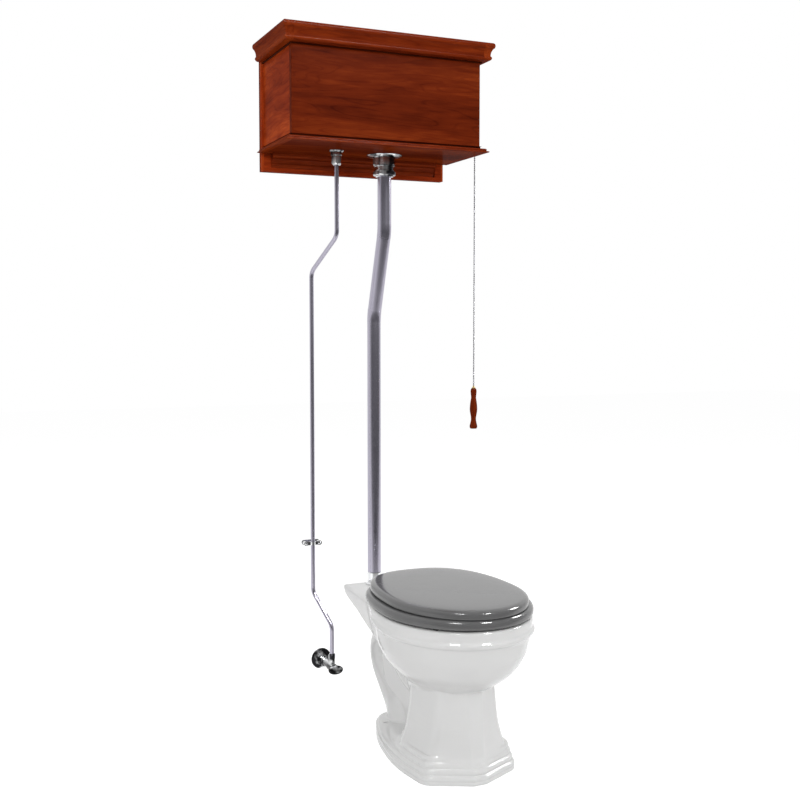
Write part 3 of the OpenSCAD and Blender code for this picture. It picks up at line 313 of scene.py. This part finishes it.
class Shader(NodeTree):
    def __init__(self, name, roughness, metallic=0.0):
        self.material = bpy.data.materials.new(name)
        self.material.use_nodes = True
        super().__init__(self.material.node_tree)
        self.sockets = self.tree.nodes["Principled BSDF"].inputs
        self.sockets["Roughness"].default_value = roughness
        self.sockets["Metallic"].default_value = metallic

    def bump(self, height, strength, distance):
        made = self.node("ShaderNodeBump")
        made.inputs["Strength"].default_value = strength
        made.inputs["Distance"].default_value = distance
        self.link(height, made.inputs["Height"])
        self.link(made.outputs["Normal"], self.sockets["Normal"])


# Materials

def plain(name, dark, light, roughness, scale, wave, depth=0.0002, vary=0.03):
    made = Shader(name, roughness)
    shade = made.ramp(made.noise(scale), [(0.3, dark), (0.7, light)])
    made.link(shade, made.sockets["Base Color"])
    gloss = made.spread(made.noise(wave * 2), roughness - vary, roughness + vary)
    made.link(gloss, made.sockets["Roughness"])
    made.bump(made.noise(wave), 0.2, depth)
    return made.material


def finish_metal(made, shade, roughness, wear_scale):
    made.link(shade, made.sockets["Base Color"])
    worn = made.spread(made.noise(wear_scale, 1.0), roughness * 0.8, roughness * 1.25)
    made.link(worn, made.sockets["Roughness"])
    return made.material


def metal(name, dark, light, roughness, scale=12.0):
    made = Shader(name, roughness, 1.0)
    shade = made.ramp(made.noise(scale, 2.0), [(0.3, dark), (0.7, light)])
    return finish_metal(made, shade, roughness, scale * 0.6)


# Painted reflection: dark and bright bands in the base colour stand in for the dim room and lamps
# mirrored in the chrome
def painted_reflection_metal(name, dark, light, roughness, stretch, scale, start):
    made = Shader(name, roughness, 1.0)
    reflection_bands = made.noise(scale, 2.0, made.stretched(stretch), 0.3)
    half_light = [c * 0.5 for c in light]
    shade = made.ramp(reflection_bands, [(start, dark), (start + 0.08, half_light), (start + 0.14, light)])
    return finish_metal(made, shade, roughness, scale * 0.4)


WOOD_COLOURS = [
    (0.0, (0.066, 0.0060, 0.0014)),
    (0.5, (0.146, 0.0172, 0.0032)),
    (1.0, (0.265, 0.0400, 0.0068)),
]
WOOD_ROUGHNESS = 0.42
WOOD_COAT = 0.05
WOOD_COAT_ROUGHNESS = 0.22
RINGS_PER_PATCH = 130.0
LINE_DARKNESS = 0.11


def wood(name, scale, sides_scale=None, painted_light_factor=1.0):
    made = Shader(name, WOOD_ROUGHNESS)
    made.sockets["Specular IOR Level"].default_value = 0.0
    made.sockets["Coat Weight"].default_value = WOOD_COAT
    made.sockets["Coat Roughness"].default_value = WOOD_COAT_ROUGHNESS
    vector = made.stretched(scale)
    if sides_scale:
        x = made.axis(made.place, "X")
        left = made.math("LESS_THAN", x, tank_low[0])
        right = made.math("GREATER_THAN", x, tank_high[0])
        mix = made.node("ShaderNodeMix", data_type="VECTOR")
        made.link(made.math("MAXIMUM", left, right), mix.inputs["Factor"])
        made.link(vector, mix.inputs[4])
        made.link(made.stretched(sides_scale), mix.inputs[5])
        vector = mix.outputs[1]
    patches = made.noise(0.5, 2.0, vector, 0.4)
    rings = made.math("SINE", made.math("MULTIPLY", patches, RINGS_PER_PATCH))
    lines = made.spread(rings, 0.0, LINE_DARKNESS, 0.72, 1.0)
    glow = made.spread(patches, -0.2, 0.24)
    fibres = made.spread(made.noise(4.0, 5.0, vector, 0.2), -0.15, 0.15)
    grain = made.math("SUBTRACT", made.math("ADD", fibres, glow), lines)
    # Painted light and shade: the factor makes lighter or darker copies of the same cherry
    stops = [(at, [c * painted_light_factor for c in colour]) for at, colour in WOOD_COLOURS]
    shade = made.ramp(made.spread(grain, 0.0, 1.0, -0.4, 0.4), stops)
    made.link(shade, made.sockets["Base Color"])
    worn = made.spread(fibres, 0.36, 0.48, -0.15, 0.15)
    made.link(worn, made.sockets["Roughness"])
    made.bump(fibres, 0.1, 0.0002)
    return made.material


looks = {
    "china": plain("china_glaze", (0.80, 0.80, 0.795), (0.83, 0.83, 0.825), 0.05,
                   scale=3.0, wave=12.0, vary=0.015),
    "seat_grey": plain("seat_lacquer", (0.122, 0.122, 0.123), (0.134, 0.134, 0.135), 0.13,
                       scale=4.0, wave=18.0),
    "chrome": metal("polished_chrome", (0.78, 0.79, 0.80), (0.85, 0.86, 0.87), 0.05),
    "satin_tube": metal("satin_tube", (0.43, 0.41, 0.49), (0.47, 0.45, 0.53), 0.26, scale=5.0),
    "chain_metal": metal("chain_metal", (0.20, 0.20, 0.22), (0.30, 0.30, 0.32), 0.25, scale=60.0),
    "brass": metal("satin_brass", (0.58, 0.43, 0.18), (0.74, 0.58, 0.28), 0.22, scale=30.0),
    "rubber": plain("black_rubber", (0.012, 0.012, 0.012), (0.022, 0.022, 0.022), 0.6,
                    scale=40.0, wave=200.0, depth=0.0001),
    "black_plastic": plain("black_plastic", (0.02, 0.02, 0.022), (0.035, 0.035, 0.04), 0.4,
                           scale=30.0, wave=200.0, depth=0.0001),
    "white_plastic": plain("white_plastic", (0.74, 0.74, 0.72), (0.80, 0.80, 0.78), 0.35,
                           scale=10.0, wave=90.0, depth=0.0001),
}
wood_x = wood("cherry_along_x", (3.0, 22.0, 22.0))
wood_y = wood("cherry_along_y", (22.0, 3.0, 22.0))
wood_z = wood("cherry_upright", (40.0, 40.0, 5.0))
# Painted highlight: the mouldings' cherry made 1.25 times lighter, standing in for the light they catch
painted_highlight_trim = wood("cherry_trim_painted_highlight", (3.0, 30.0, 30.0), (30.0, 3.0, 30.0), 1.25)
# Painted light: the back frame's cherry made 2.4 times lighter, standing in for its lit edges
painted_lit_frame_wood = wood("cherry_frame_painted_light", (3.0, 30.0, 30.0), (30.0, 3.0, 4.0), 2.4)
# Painted shade: a dark copy of the cherry for the shadow lines in the mouldings' grooves
groove_shade_wood = wood("cherry_painted_groove_shade", (3.0, 30.0, 30.0), (30.0, 3.0, 30.0), 0.3)
# Painted light: the tank sides' cherry made 2.2 times lighter, standing in for the light falling on them
painted_lit_side_wood = wood("cherry_sides_painted_light", (22.0, 3.0, 22.0), painted_light_factor=2.2)
# Painted reflection: the fittings and the stop valve get chrome with mirrored darks and brights painted
# into the colour
fitting_chrome_painted_reflection = painted_reflection_metal("fitting_chrome_painted_reflection", (0.04, 0.04, 0.045), (0.84, 0.85, 0.86), 0.2,
                                stretch=(1.0, 1.0, 0.12), scale=34.0, start=0.42)
valve_chrome_painted_reflection = painted_reflection_metal("valve_chrome_painted_reflection", (0.02, 0.02, 0.022), (0.80, 0.81, 0.82), 0.1,
                              stretch=(1.0, 0.15, 1.0), scale=36.0, start=0.49)

# Nodes whose look isn't their slot's own
SPECIAL = {
    "tank_side_left": painted_lit_side_wood,
    "tank_side_right": painted_lit_side_wood,
    "lid_cleats": wood_y,
    "pull_handle": wood_z,
    "back_frame": painted_lit_frame_wood,
    "ledger_moulding": painted_highlight_trim,
    "flush_flange": fitting_chrome_painted_reflection,
    "flush_locknut": fitting_chrome_painted_reflection,
    "slip_nut": fitting_chrome_painted_reflection,
    "supply_escutcheon": fitting_chrome_painted_reflection,
    "supply_locknut": fitting_chrome_painted_reflection,
    "supply_nut": fitting_chrome_painted_reflection,
    "outlet_nut": fitting_chrome_painted_reflection,
    "valve_flange": valve_chrome_painted_reflection,
    "valve_body": valve_chrome_painted_reflection,
    "valve_handle": valve_chrome_painted_reflection,
}
looks["cherry"] = wood_x

for part in frame["record"]["subparts"]:
    mesh = nodes[part["node"]].data
    mesh.materials.clear()
    mesh.materials.append(SPECIAL.get(part["node"], looks[part["material_slot"]]))


def dress(obj, node, body, slot, look=None):
    shade_smooth(obj)
    obj.data.materials.append(look or looks[slot])
    if node:
        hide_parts(node)
    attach(obj, body)
    return obj


# China bowl

# How each corner of a half outline moves as the outline grows
CORNER_GROWTH = [(0.5, -1), (1, -0.6), (1, 0), (1, 0.2), (0.7, 1)]
CORNER_STEPS = 8
FOOT_CUTS = [5, 22, 80, 60, 50]
PEDESTAL_CUTS = [4, 18, 26, 34, 20]

# The foot draws in above this height
DRAW_Z = 26

# Each rib swells out, and the next one stands further in
RIB_SWELL = 3.8
RIB_STEP = 4.4
RIB_INSET = 3.9
RIB_CUTS = 12

CHINA_VOXEL = 1.8
CHINA_SOFTENING = 3
LEDGE_LIP = 13
LEVEL_CORNERS = [(-400, -900), (400, -900), (400, 600), (-400, 600)]


def faceted(z, half, grow, cuts):
    right = [(x + grow * gx, y + grow * gy) for (x, y), (gx, gy) in zip(half, CORNER_GROWTH)]
    corners = right + [(-x, y) for x, y in reversed(right)]
    outline = soft_corners(corners, cuts + cuts[::-1], CORNER_STEPS)
    return [(p.x, p.y, z) for p in outline]


def foot_level(z, grow):
    t = max(0, (z - DRAW_Z) / (FOOT_H - DRAW_Z))
    draw = min(1, t * 1.6)
    draw = draw * draw * (3 - 2 * draw)
    half = [(NOSE_HALF_W, -FOOT_FRONT),
            (FOOT_HALF_W * 0.87, -FOOT_FRONT + 54),
            (FOOT_HALF_W - 8 * t, -200 - 10 * t),
            (FOOT_HALF_W * (0.83 - 0.11 * draw), -40 - 90 * draw),
            (66, mixed(FOOT_BACK, -100, draw))]
    return faceted(z, half, grow, FOOT_CUTS)


def rib_swell(z):
    turn = (z - FOOT_PLINTH) / RIB_H
    rise = turn - math.floor(turn)
    return RIB_SWELL * math.sin(math.pi * rise) ** 0.5 - RIB_STEP * math.floor(turn) - RIB_INSET


def foot():
    rings = [foot_level(0, -1.5), foot_level(3, 0), foot_level(FOOT_PLINTH - 1, 0)]
    for k in range(RIB_COUNT * RIB_CUTS):
        z = FOOT_PLINTH + k * RIB_H / RIB_CUTS
        rings.append(foot_level(z, rib_swell(z + 0.01)))
    return loft("foot", rings)


# Height, front, half width and back of the pedestal
PEDESTAL = [
    (6, 378, 130, 40), (FOOT_H - 14, 377, 126, 44), (FOOT_H + 2, 375, 120, 54),
    (FOOT_H + 22, 371, 112, 80), (FOOT_H + 60, 366, 102, 122), (WAIST_Z - 40, 362, 96, 138),
    (WAIST_Z - 8, 360, 93, 140), (WAIST_Z + 14, 354, 92, 130), (WAIST_Z + 26, 342, 86, 20)]
PEDESTAL_HOLLOW = [
    (-1, 384, 138, -42), (30, 382, 136, -42), (FOOT_H - 8, 374, 124, -36),
    (FOOT_H + 40, 367, 106, 10), (WAIST_Z - 16, 358, 93, -40)]
PEDESTAL_SIDE_Y = -188


def pedestal_level(level, inset):
    z, front, half_w, back = level
    half = [(NOSE_HALF_W - inset * 0.4, -front + inset),
            (half_w * 0.84 - inset, mixed(-front, PEDESTAL_SIDE_Y, 0.26) + inset * 0.6),
            (half_w - inset, PEDESTAL_SIDE_Y - inset * 0.4),
            (38 - inset, -108 - inset * 1.3),
            (37 - inset, back - inset)]
    return faceted(z, half, 0, PEDESTAL_CUTS)


# Height, then how far the skin lies inside the rim at its side, front and back
BOWL_SKIN = [
    (100, 132, 228, 150), (116, 124, 214, 138), (150, 114, 190, 112), (190, 98, 138, 91),
    (WAIST_Z - 12, 87, 106, 88), (WAIST_Z + 2, 71, 82, 86), (WAIST_Z + 18, 52, 59, 84),
    (WAIST_Z + 38, 34, 39, 80), (WAIST_Z + 60, 21, 25, 77), (WAIST_Z + 82, 12, 15, 74),
    (RIDGE_Z - 16, 7.5, 8.5, 68), (RIDGE_Z - 7, 5.5, 6, 64), (RIDGE_Z - 3, 1, 1, 60),
    (RIDGE_Z + 2, -2.9, -2.9, 50), (RIDGE_Z + 8, -2.9, -2.9, 38), (RIDGE_Z + 14, 1.5, 1.5, 24),
    (RIM_H - 7, 1, 1, 5), (RIM_H - 1.5, 3, 3, 4), (RIM_H + 1, 8.5, 8.5, 7)]

# Height, half width, front and back of the bowl's inside
BOWL_WELL = [
    (112, 40, -212, -98), (118, 46, -221, -92), (150, 59, -251, -76), (190, 76, -303, -56),
    (WAIST_Z + 4, 104, -360, -48), (WAIST_Z + 18, 122, -386, -42), (WAIST_Z + 38, 141, -406, -36),
    (RIM_H - 90, 159, -425, -30), (RIM_H - 62, 166, -433, -32), (RIM_H - 38, 168, -436, -36),
    (RIM_H - 32, 160, -428, -44), (RIM_H - 28, MOUTH_HALF_W, -RIM_FRONT + 58, -70),
    (RIM_H - 8, MOUTH_HALF_W, -RIM_FRONT + 60, -72),
    (RIM_H + 1, MOUTH_HALF_W + 5, -RIM_FRONT + 54, -66)]

# Place along y, half width above and below, lowest and highest point of the ledge
LEDGE = [
    (-60, 118, 88, 218, RIM_H + 1), (20, 112, 84, 228, RIM_H + 1),
    (RIM_BACK - 2, 106, 82, 234, RIM_H + 1), (RIM_BACK + 6, 104, 82, 236, RIM_H - 8),
    (RIM_BACK + 12, 103, 82, 238, LEDGE_H + 3), (RIM_BACK + 22, 102, 81, 241, LEDGE_H),
    (130, 97, 80, 254, LEDGE_H), (200, 91, 78, 276, LEDGE_H),
    (LEDGE_Y - 20, LEDGE_HALF_W + 1, 76, 299, LEDGE_H),
    (LEDGE_Y - 6, LEDGE_HALF_W - 1, 75, 305, LEDGE_H),
    (LEDGE_Y - 1.5, LEDGE_HALF_W - 4, 73, 309, LEDGE_H - 1),
    (LEDGE_Y, LEDGE_HALF_W - 7, 71, 312, LEDGE_H - 3)]

# Place along y, height and outer radius of the trapway
TRAP = [
    (-150, 148, 42), (-92, 150, 43), (-30, 160, 44), (36, 190, 45), (92, 216, 46), (138, 220, 46),
    (170, 198, 46), (178, 166, 45), (164, 134, 44), (134, 108, 44), (100, 86, 46), (66, 67, 50),
    (34, 52, 58), (10, 36, 62), (0, 16, 62), (0, -12, 62)]
ACROSS_X = Vector((1, 0, 0))


def trapway(passage):
    line = through(TRAP, 5)
    line = line[:-10] if passage else line[5:-5]
    rings = []
    for i, (y, z, outer_r) in enumerate(line):
        after = line[min(i + 1, len(line) - 1)]
        before = line[max(i - 1, 0)]
        along = Vector((0, after[0] - before[0], after[1] - before[1])).normalized()
        across = along.cross(ACROSS_X)
        r = TRAP_R if passage else outer_r
        middle = Vector((0, y, z))
        rings.append([tuple(middle + r * (math.cos(a) * ACROSS_X + math.sin(a) * across))
                      for a in turned(48)])
    return loft("trapway", rings)


def ledge():
    rings = []
    for y, top_w, low_w, low, top in LEDGE:
        lip = top - LEDGE_LIP
        corners = [(top, -top_w), (top, top_w), (lip, top_w), (low, low_w), (low, -low_w), (lip, -top_w)]
        rings.append([(p.y, y, p.x) for p in soft_corners(corners, [5, 5, 9, 22, 22, 9], 6)])
    return loft("ledge", rings)


def skin():
    rings = []
    for z, side, front, back in through(BOWL_SKIN, 3):
        rings.append(egg(RIM_HALF_W - side, -RIM_FRONT + front, RIM_WIDE_Y + side * 0.25, RIM_BACK - back,
                         z, fullness=2.15))
    return loft("skin", rings)


def well():
    rings = []
    for z, half_w, front, back in BOWL_WELL:
        rings.append(egg(half_w, front, mixed(front, back, 0.45), back, z, fullness=2.1))
    return loft("well", rings)


def slab(z0, z1):
    return loft("level", [[(x, y, z) for x, y in LEVEL_CORNERS] for z in (z0, z1)])


def bowl_china():
    china = foot()
    pedestal = [pedestal_level(level, 0) for level in through(PEDESTAL, 4)]
    combine(china, loft("pedestal", pedestal), "UNION")
    hollow = [pedestal_level(level, CHINA_T) for level in PEDESTAL_HOLLOW]
    combine(china, loft("hollow", hollow), "DIFFERENCE")
    for form in (skin(), trapway(False), ledge()):
        combine(china, form, "UNION")
    cuts = [well(), trapway(True), slab(-100, 0), slab(RIM_H, RIM_H + 100),
            cylinder("outlet", 0, 0, -1, 40, OUTLET_R)]
    for side in (-1, 1):
        cuts.append(cylinder("bolt_hole", side * BOLT_HALF_GAP, 0, -1, 60, BOLT_HOLE_R))
        cuts.append(cylinder("seat_hole", side * SEAT_BOLT_HALF_GAP, HINGE_Y, RIM_H - 45, RIM_H + 20,
                             SEAT_BOLT_HOLE_R))
    cuts.append(cylinder("spud_hole", 0, SPUD_Y, LEDGE_H - 26, LEDGE_H + 40, SPUD_R))
    for form in cuts:
        combine(china, form, "DIFFERENCE")
    china.name = "bowl_china"
    melt = china.modifiers.new("melt", "REMESH")
    melt.mode = "VOXEL"
    melt.voxel_size = CHINA_VOXEL * MM
    soften = china.modifiers.new("soften", "SMOOTH")
    soften.factor = 0.5
    soften.iterations = CHINA_SOFTENING
    bake(china)
    china.data.materials.clear()
    dress(china, "bowl", "fixture", "china")


# Seat ring and lid

SEAT_OVERHANG = 2
SEAT_HALF_W = RIM_HALF_W + SEAT_OVERHANG
SEAT_FRONT = -RIM_FRONT - SEAT_OVERHANG
SEAT_BACK = RIM_BACK - 32
SEAT_WIDE_Y = -RIM_FRONT + SEAT_HALF_W * 1.16
SEAT_SIDES = 256
SEAT_FULLNESS = 2.55
RING_Z = RIM_H + 5
RING_T = 22
LID_Z = RING_Z + RING_T + 3
LID_T = 20
LID_INSET = 15
LID_FRONT_INSET = 3
HOLE_HALF_W = 112
HOLE_FRONT = -RIM_FRONT + 78
HOLE_BACK = SEAT_BACK - 86


def seat_ring():
    section = [(0.045, 0), (0.01, 0.12), (0, 0.4), (0.015, 0.7), (0.07, 0.93), (0.18, 1), (0.62, 0.93),
               (0.9, 0.78), (0.98, 0.55), (1, 0.3), (0.97, 0.06), (0.93, 0)]
    rings = []
    for part, rise in through(section, 5):
        z = RING_Z + rise * RING_T
        outer = egg(SEAT_HALF_W, SEAT_FRONT, SEAT_WIDE_Y, SEAT_BACK, z, SEAT_SIDES, SEAT_FULLNESS)
        middle = mixed(HOLE_FRONT, HOLE_BACK, 0.5)
        inner = egg(HOLE_HALF_W, HOLE_FRONT, middle, HOLE_BACK, z, SEAT_SIDES, 2.2)
        rings.append([tuple(mixed(a, b, part) for a, b in zip(o, i)) for o, i in zip(outer, inner)])
    dress(loft("ring_lacquered", rings, closed=True), "seat_ring", "seat_ring", "seat_grey")


def seat_lid():
    section = [(26, 0), (11, 0), (7, -0.09), (2.5, -0.1), (0.3, 0.02), (0, 0.24), (0.3, 0.5), (2.6, 0.7),
               (8, 0.86), (17, 0.94), (46, 0.985), (95, 1)]
    rings = []
    for inset, rise in through(section, 5):
        rings.append(egg(SEAT_HALF_W - LID_INSET - inset, SEAT_FRONT + LID_FRONT_INSET + inset * 1.05,
                         SEAT_WIDE_Y + inset * 0.1, SEAT_BACK - inset * 1.1, LID_Z + rise * LID_T,
                         SEAT_SIDES, SEAT_FULLNESS))
    dress(loft("lid_lacquered", rings), "seat_lid", "seat_lid", "seat_grey")


# Mouldings of the tank, mitred at the front corners

SHARP = math.radians(38)
LEDGER_GAP = 6


def mitred(name, node, section, z):
    rings = [[(TANK_XL - out, TANK_YB, z + up) for out, up in section],
             [(TANK_XL - out, TANK_YF - out, z + up) for out, up in section],
             [(TANK_XR + out, TANK_YF - out, z + up) for out, up in section],
             [(TANK_XR + out, TANK_YB, z + up) for out, up in section]]
    piece = dress(loft(name, rings), node, "fixture", "cherry", painted_highlight_trim)
    piece.data.set_sharp_from_angle(angle=SHARP)
    return piece


# Painted shade: darker wood on the groove faces between two heights, standing in for the shadow line
# there
def paint_groove_shade(piece, low, high):
    piece.data.materials.append(groove_shade_wood)
    for face in piece.data.polygons:
        if low * MM < face.center.z < high * MM and abs(face.normal.z) < 0.98:
            face.material_index = 1


def crown():
    under = through([(0, -4.6), (2.2, -4.2), (3.4, -2.6), (3, -0.6)], 3)
    bead = through([(16, 0.3), (20.5, 2.2), (23, 6), (22.6, 10), (20.4, 12.6)], 4)
    cove = through([(20.4, 15), (20.8, 19), (22.4, 24.5), (25, 29.5), (28.4, 32.6)], 4)
    nose = through([(29, 33.4), (29.9, 37), (29.7, 41.4), (27.8, 45), (24.6, 46.8)], 4)
    section = under + [(3, 0)] + bead + cove + nose + [(23.4, 47), (0, 47)]
    paint_groove_shade(mitred("crown_run", "crown_moulding", section, CROWN_Z), CROWN_Z - 5, CROWN_Z + 0.1)


def base():
    bead = through([(5, -3), (10, -3.4), (13, -5), (13.8, -7.2), (13, -8.8)], 4)
    ogee = through([(13.2, -9.6), (15.4, -10.2), (18.2, -11.2), (19, -12.4)], 4)
    lip = [(19, -13.4), (18.2, -14), (0, -14), (0, 3), (3.4, 3), (3.4, 2.6), (0.8, 2.2), (0.8, -2.6)]
    paint_groove_shade(mitred("base_run", "base_moulding", bead + ogee + lip, PANEL_Z), PANEL_Z - 3.2, PANEL_Z + 2.7)


def ledger():
    low, high = [[v / MM for v in corner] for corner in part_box("ledger_moulding")]
    bulge = through([(36, 33), (34.8, 29.6), (31.5, 27), (27, 25.6)], 4)
    cove = through([(25.4, 22.6), (21.4, 19.2), (18.4, 15), (17, 11.4)], 4)
    bead = through([(18.6, 8.6), (17, 5.4), (14.4, 2.6), (13, 0)], 4)
    section = [(0, 37), (36, 37)] + bulge + [(25.4, 25)] + cove + [(18.6, 11)] + bead + [(0, 0)]
    rings = []
    for x in (low[0], high[0] - LEDGER_GAP):
        rings.append([(x, high[1] - out, low[2] + up) for out, up in section])
    piece = dress(loft("ledger_run", rings), "ledger_moulding", "fixture", "cherry", painted_highlight_trim)
    piece.data.set_sharp_from_angle(angle=SHARP)


# Chrome ferrule round the flush valve's tail, between its two nuts

FERRULE_PLAY = 0.2


def ferrule():
    low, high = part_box("flush_locknut")
    y = (low[1] + high[1]) / 2 / MM
    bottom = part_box("slip_nut")[1][2] / MM + FERRULE_PLAY
    top = low[2] / MM - FERRULE_PLAY
    section = [(0.1, bottom), (2.6, bottom), (2.8, bottom + 1), (2.6, bottom + 2), (1.1, bottom + 2.6),
               (1.1, top - 2.6), (2.6, top - 2), (2.8, top - 1), (2.6, top), (0.1, top)]
    rings = [circle(0, y, z, TAIL_R + out, 64) for out, z in section]
    piece = dress(loft("tail_ferrule", rings, closed=True), None, "fixture", "chrome", fitting_chrome_painted_reflection)
    piece.data.set_sharp_from_angle(angle=SHARP)


bowl_china()
seat_ring()
seat_lid()
crown()
base()
ledger()
ferrule()


# Edges of the boards, eased so that they catch the light

EASE_ANGLE = math.radians(50)
EASED = {
    "tank_front": 1.0, "tank_side_left": 0.8, "tank_side_right": 0.8, "tank_floor": 0.6,
    "tank_lid": 1.2, "back_panel": 1.5, "back_frame": 1.5,
}
for node_name, width in EASED.items():
    ease = nodes[node_name].modifiers.new("ease", "BEVEL")
    ease.width = width * MM
    ease.segments = 3
    ease.limit_method = "ANGLE"
    ease.angle_limit = EASE_ANGLE


# Floor and world, white behind the object and dim behind the camera for the metal to mirror

FLOOR_HALF = 12
FLOOR_GLOW = 0.62
FLOOR_FADE = (-1.6, -0.5)
ROOM_LIGHT = 0.46
ROOM_FADE = (-0.5, 0.4)
DIM = 0.2


def floor_material():
    material = bpy.data.materials.new("pale_floor")
    material.use_nodes = True
    material.node_tree.nodes.clear()
    made = NodeTree(material.node_tree)
    path = made.node("ShaderNodeLightPath").outputs
    diffuse = made.shader("ShaderNodeBsdfDiffuse", Color=(0.8, 0.8, 0.8, 1))
    total = made.node("ShaderNodeAddShader")
    made.link(diffuse, total.inputs[0])
    made.link(made.shader("ShaderNodeEmission", Strength=FLOOR_GLOW), total.inputs[1])
    seen = made.math("MAXIMUM", path["Is Camera Ray"], path["Is Glossy Ray"])
    pale = made.either(seen, diffuse, total.outputs[0])
    near = made.spread(made.axis(made.place, "Y"), 0.0, 1.0, *FLOOR_FADE, "SMOOTHSTEP")
    not_mirrored = made.math("SUBTRACT", 1.0, path["Is Glossy Ray"])
    dim = made.shader("ShaderNodeBsdfDiffuse", Color=(DIM, DIM, DIM, 1))
    faded = made.either(made.math("MAXIMUM", not_mirrored, near), dim, pale)
    made.link(faded, made.node("ShaderNodeOutputMaterial").inputs["Surface"])
    return material


floor_mesh = bpy.data.meshes.new("floor")
floor_corners = [(x * FLOOR_HALF, y * FLOOR_HALF, 0) for x, y in ((-1, -1), (1, -1), (1, 1), (-1, 1))]
floor_mesh.from_pydata(floor_corners, [], [(0, 1, 2, 3)])
floor_mesh.materials.append(floor_material())
floor = bpy.data.objects.new("floor", floor_mesh)
scene.collection.objects.link(floor)


def studio():
    world = bpy.data.worlds.new("studio")
    scene.world = world
    world.use_nodes = True
    world.cycles.sampling_method = "NONE"
    world.node_tree.nodes.clear()
    made = NodeTree(world.node_tree)
    path = made.node("ShaderNodeLightPath").outputs
    away = made.spread(made.axis(made.coords["Generated"], "Y"), DIM, 1.0, *ROOM_FADE, "SMOOTHSTEP")
    room = made.shader("ShaderNodeBackground", Color=(1, 1, 1, 1), Strength=ROOM_LIGHT)
    mirrored = made.shader("ShaderNodeBackground", Color=(1, 1, 1, 1), Strength=away)
    white = made.shader("ShaderNodeBackground", Color=(1, 1, 1, 1), Strength=1.0)
    lit = made.either(path["Is Glossy Ray"], room, mirrored)
    seen = made.math("MAXIMUM", path["Is Camera Ray"], path["Is Transmission Ray"])
    made.link(made.either(seen, lit, white), made.node("ShaderNodeOutputWorld").inputs["Surface"])


studio()
scene.view_settings.view_transform = "Standard"


# Wide lamps that give the light, small windows that show in the glaze

def softbox(name, place, target, size, power, mirrored=False):
    light = bpy.data.lights.new(name, "AREA")
    light.shape = "RECTANGLE"
    light.size = size[0]
    light.size_y = size[1]
    light.energy = power
    obj = bpy.data.objects.new(name, light)
    obj.location = place
    obj.rotation_euler = (Vector(target) - Vector(place)).to_track_quat("-Z", "Y").to_euler()
    obj.visible_glossy = mirrored
    obj.visible_diffuse = not mirrored
    scene.collection.objects.link(obj)


softbox("key", (-2.6, -3.2, 2.4), (0, 0, 0.8), (1.0, 1.6), 56)
softbox("side", (2.6, -2.4, 2.0), (0, 0, 0.8), (0.8, 1.6), 25)
softbox("top", (0.0, -0.8, 3.6), (0, 0, 0.5), (2.0, 2.0), 20)
softbox("window_left", (-1.8, -2.4, 4.0), (0, 0, 0.3), (0.9, 1.2), 90, mirrored=True)
softbox("window_right", (2.7, 0.0, 2.4), (0, -0.3, 0.1), (0.9, 0.7), 80, mirrored=True)
softbox("window_front", (1.0, -2.7, 3.4), (0, 0, 0.3), (0.8, 0.9), 130, mirrored=True)
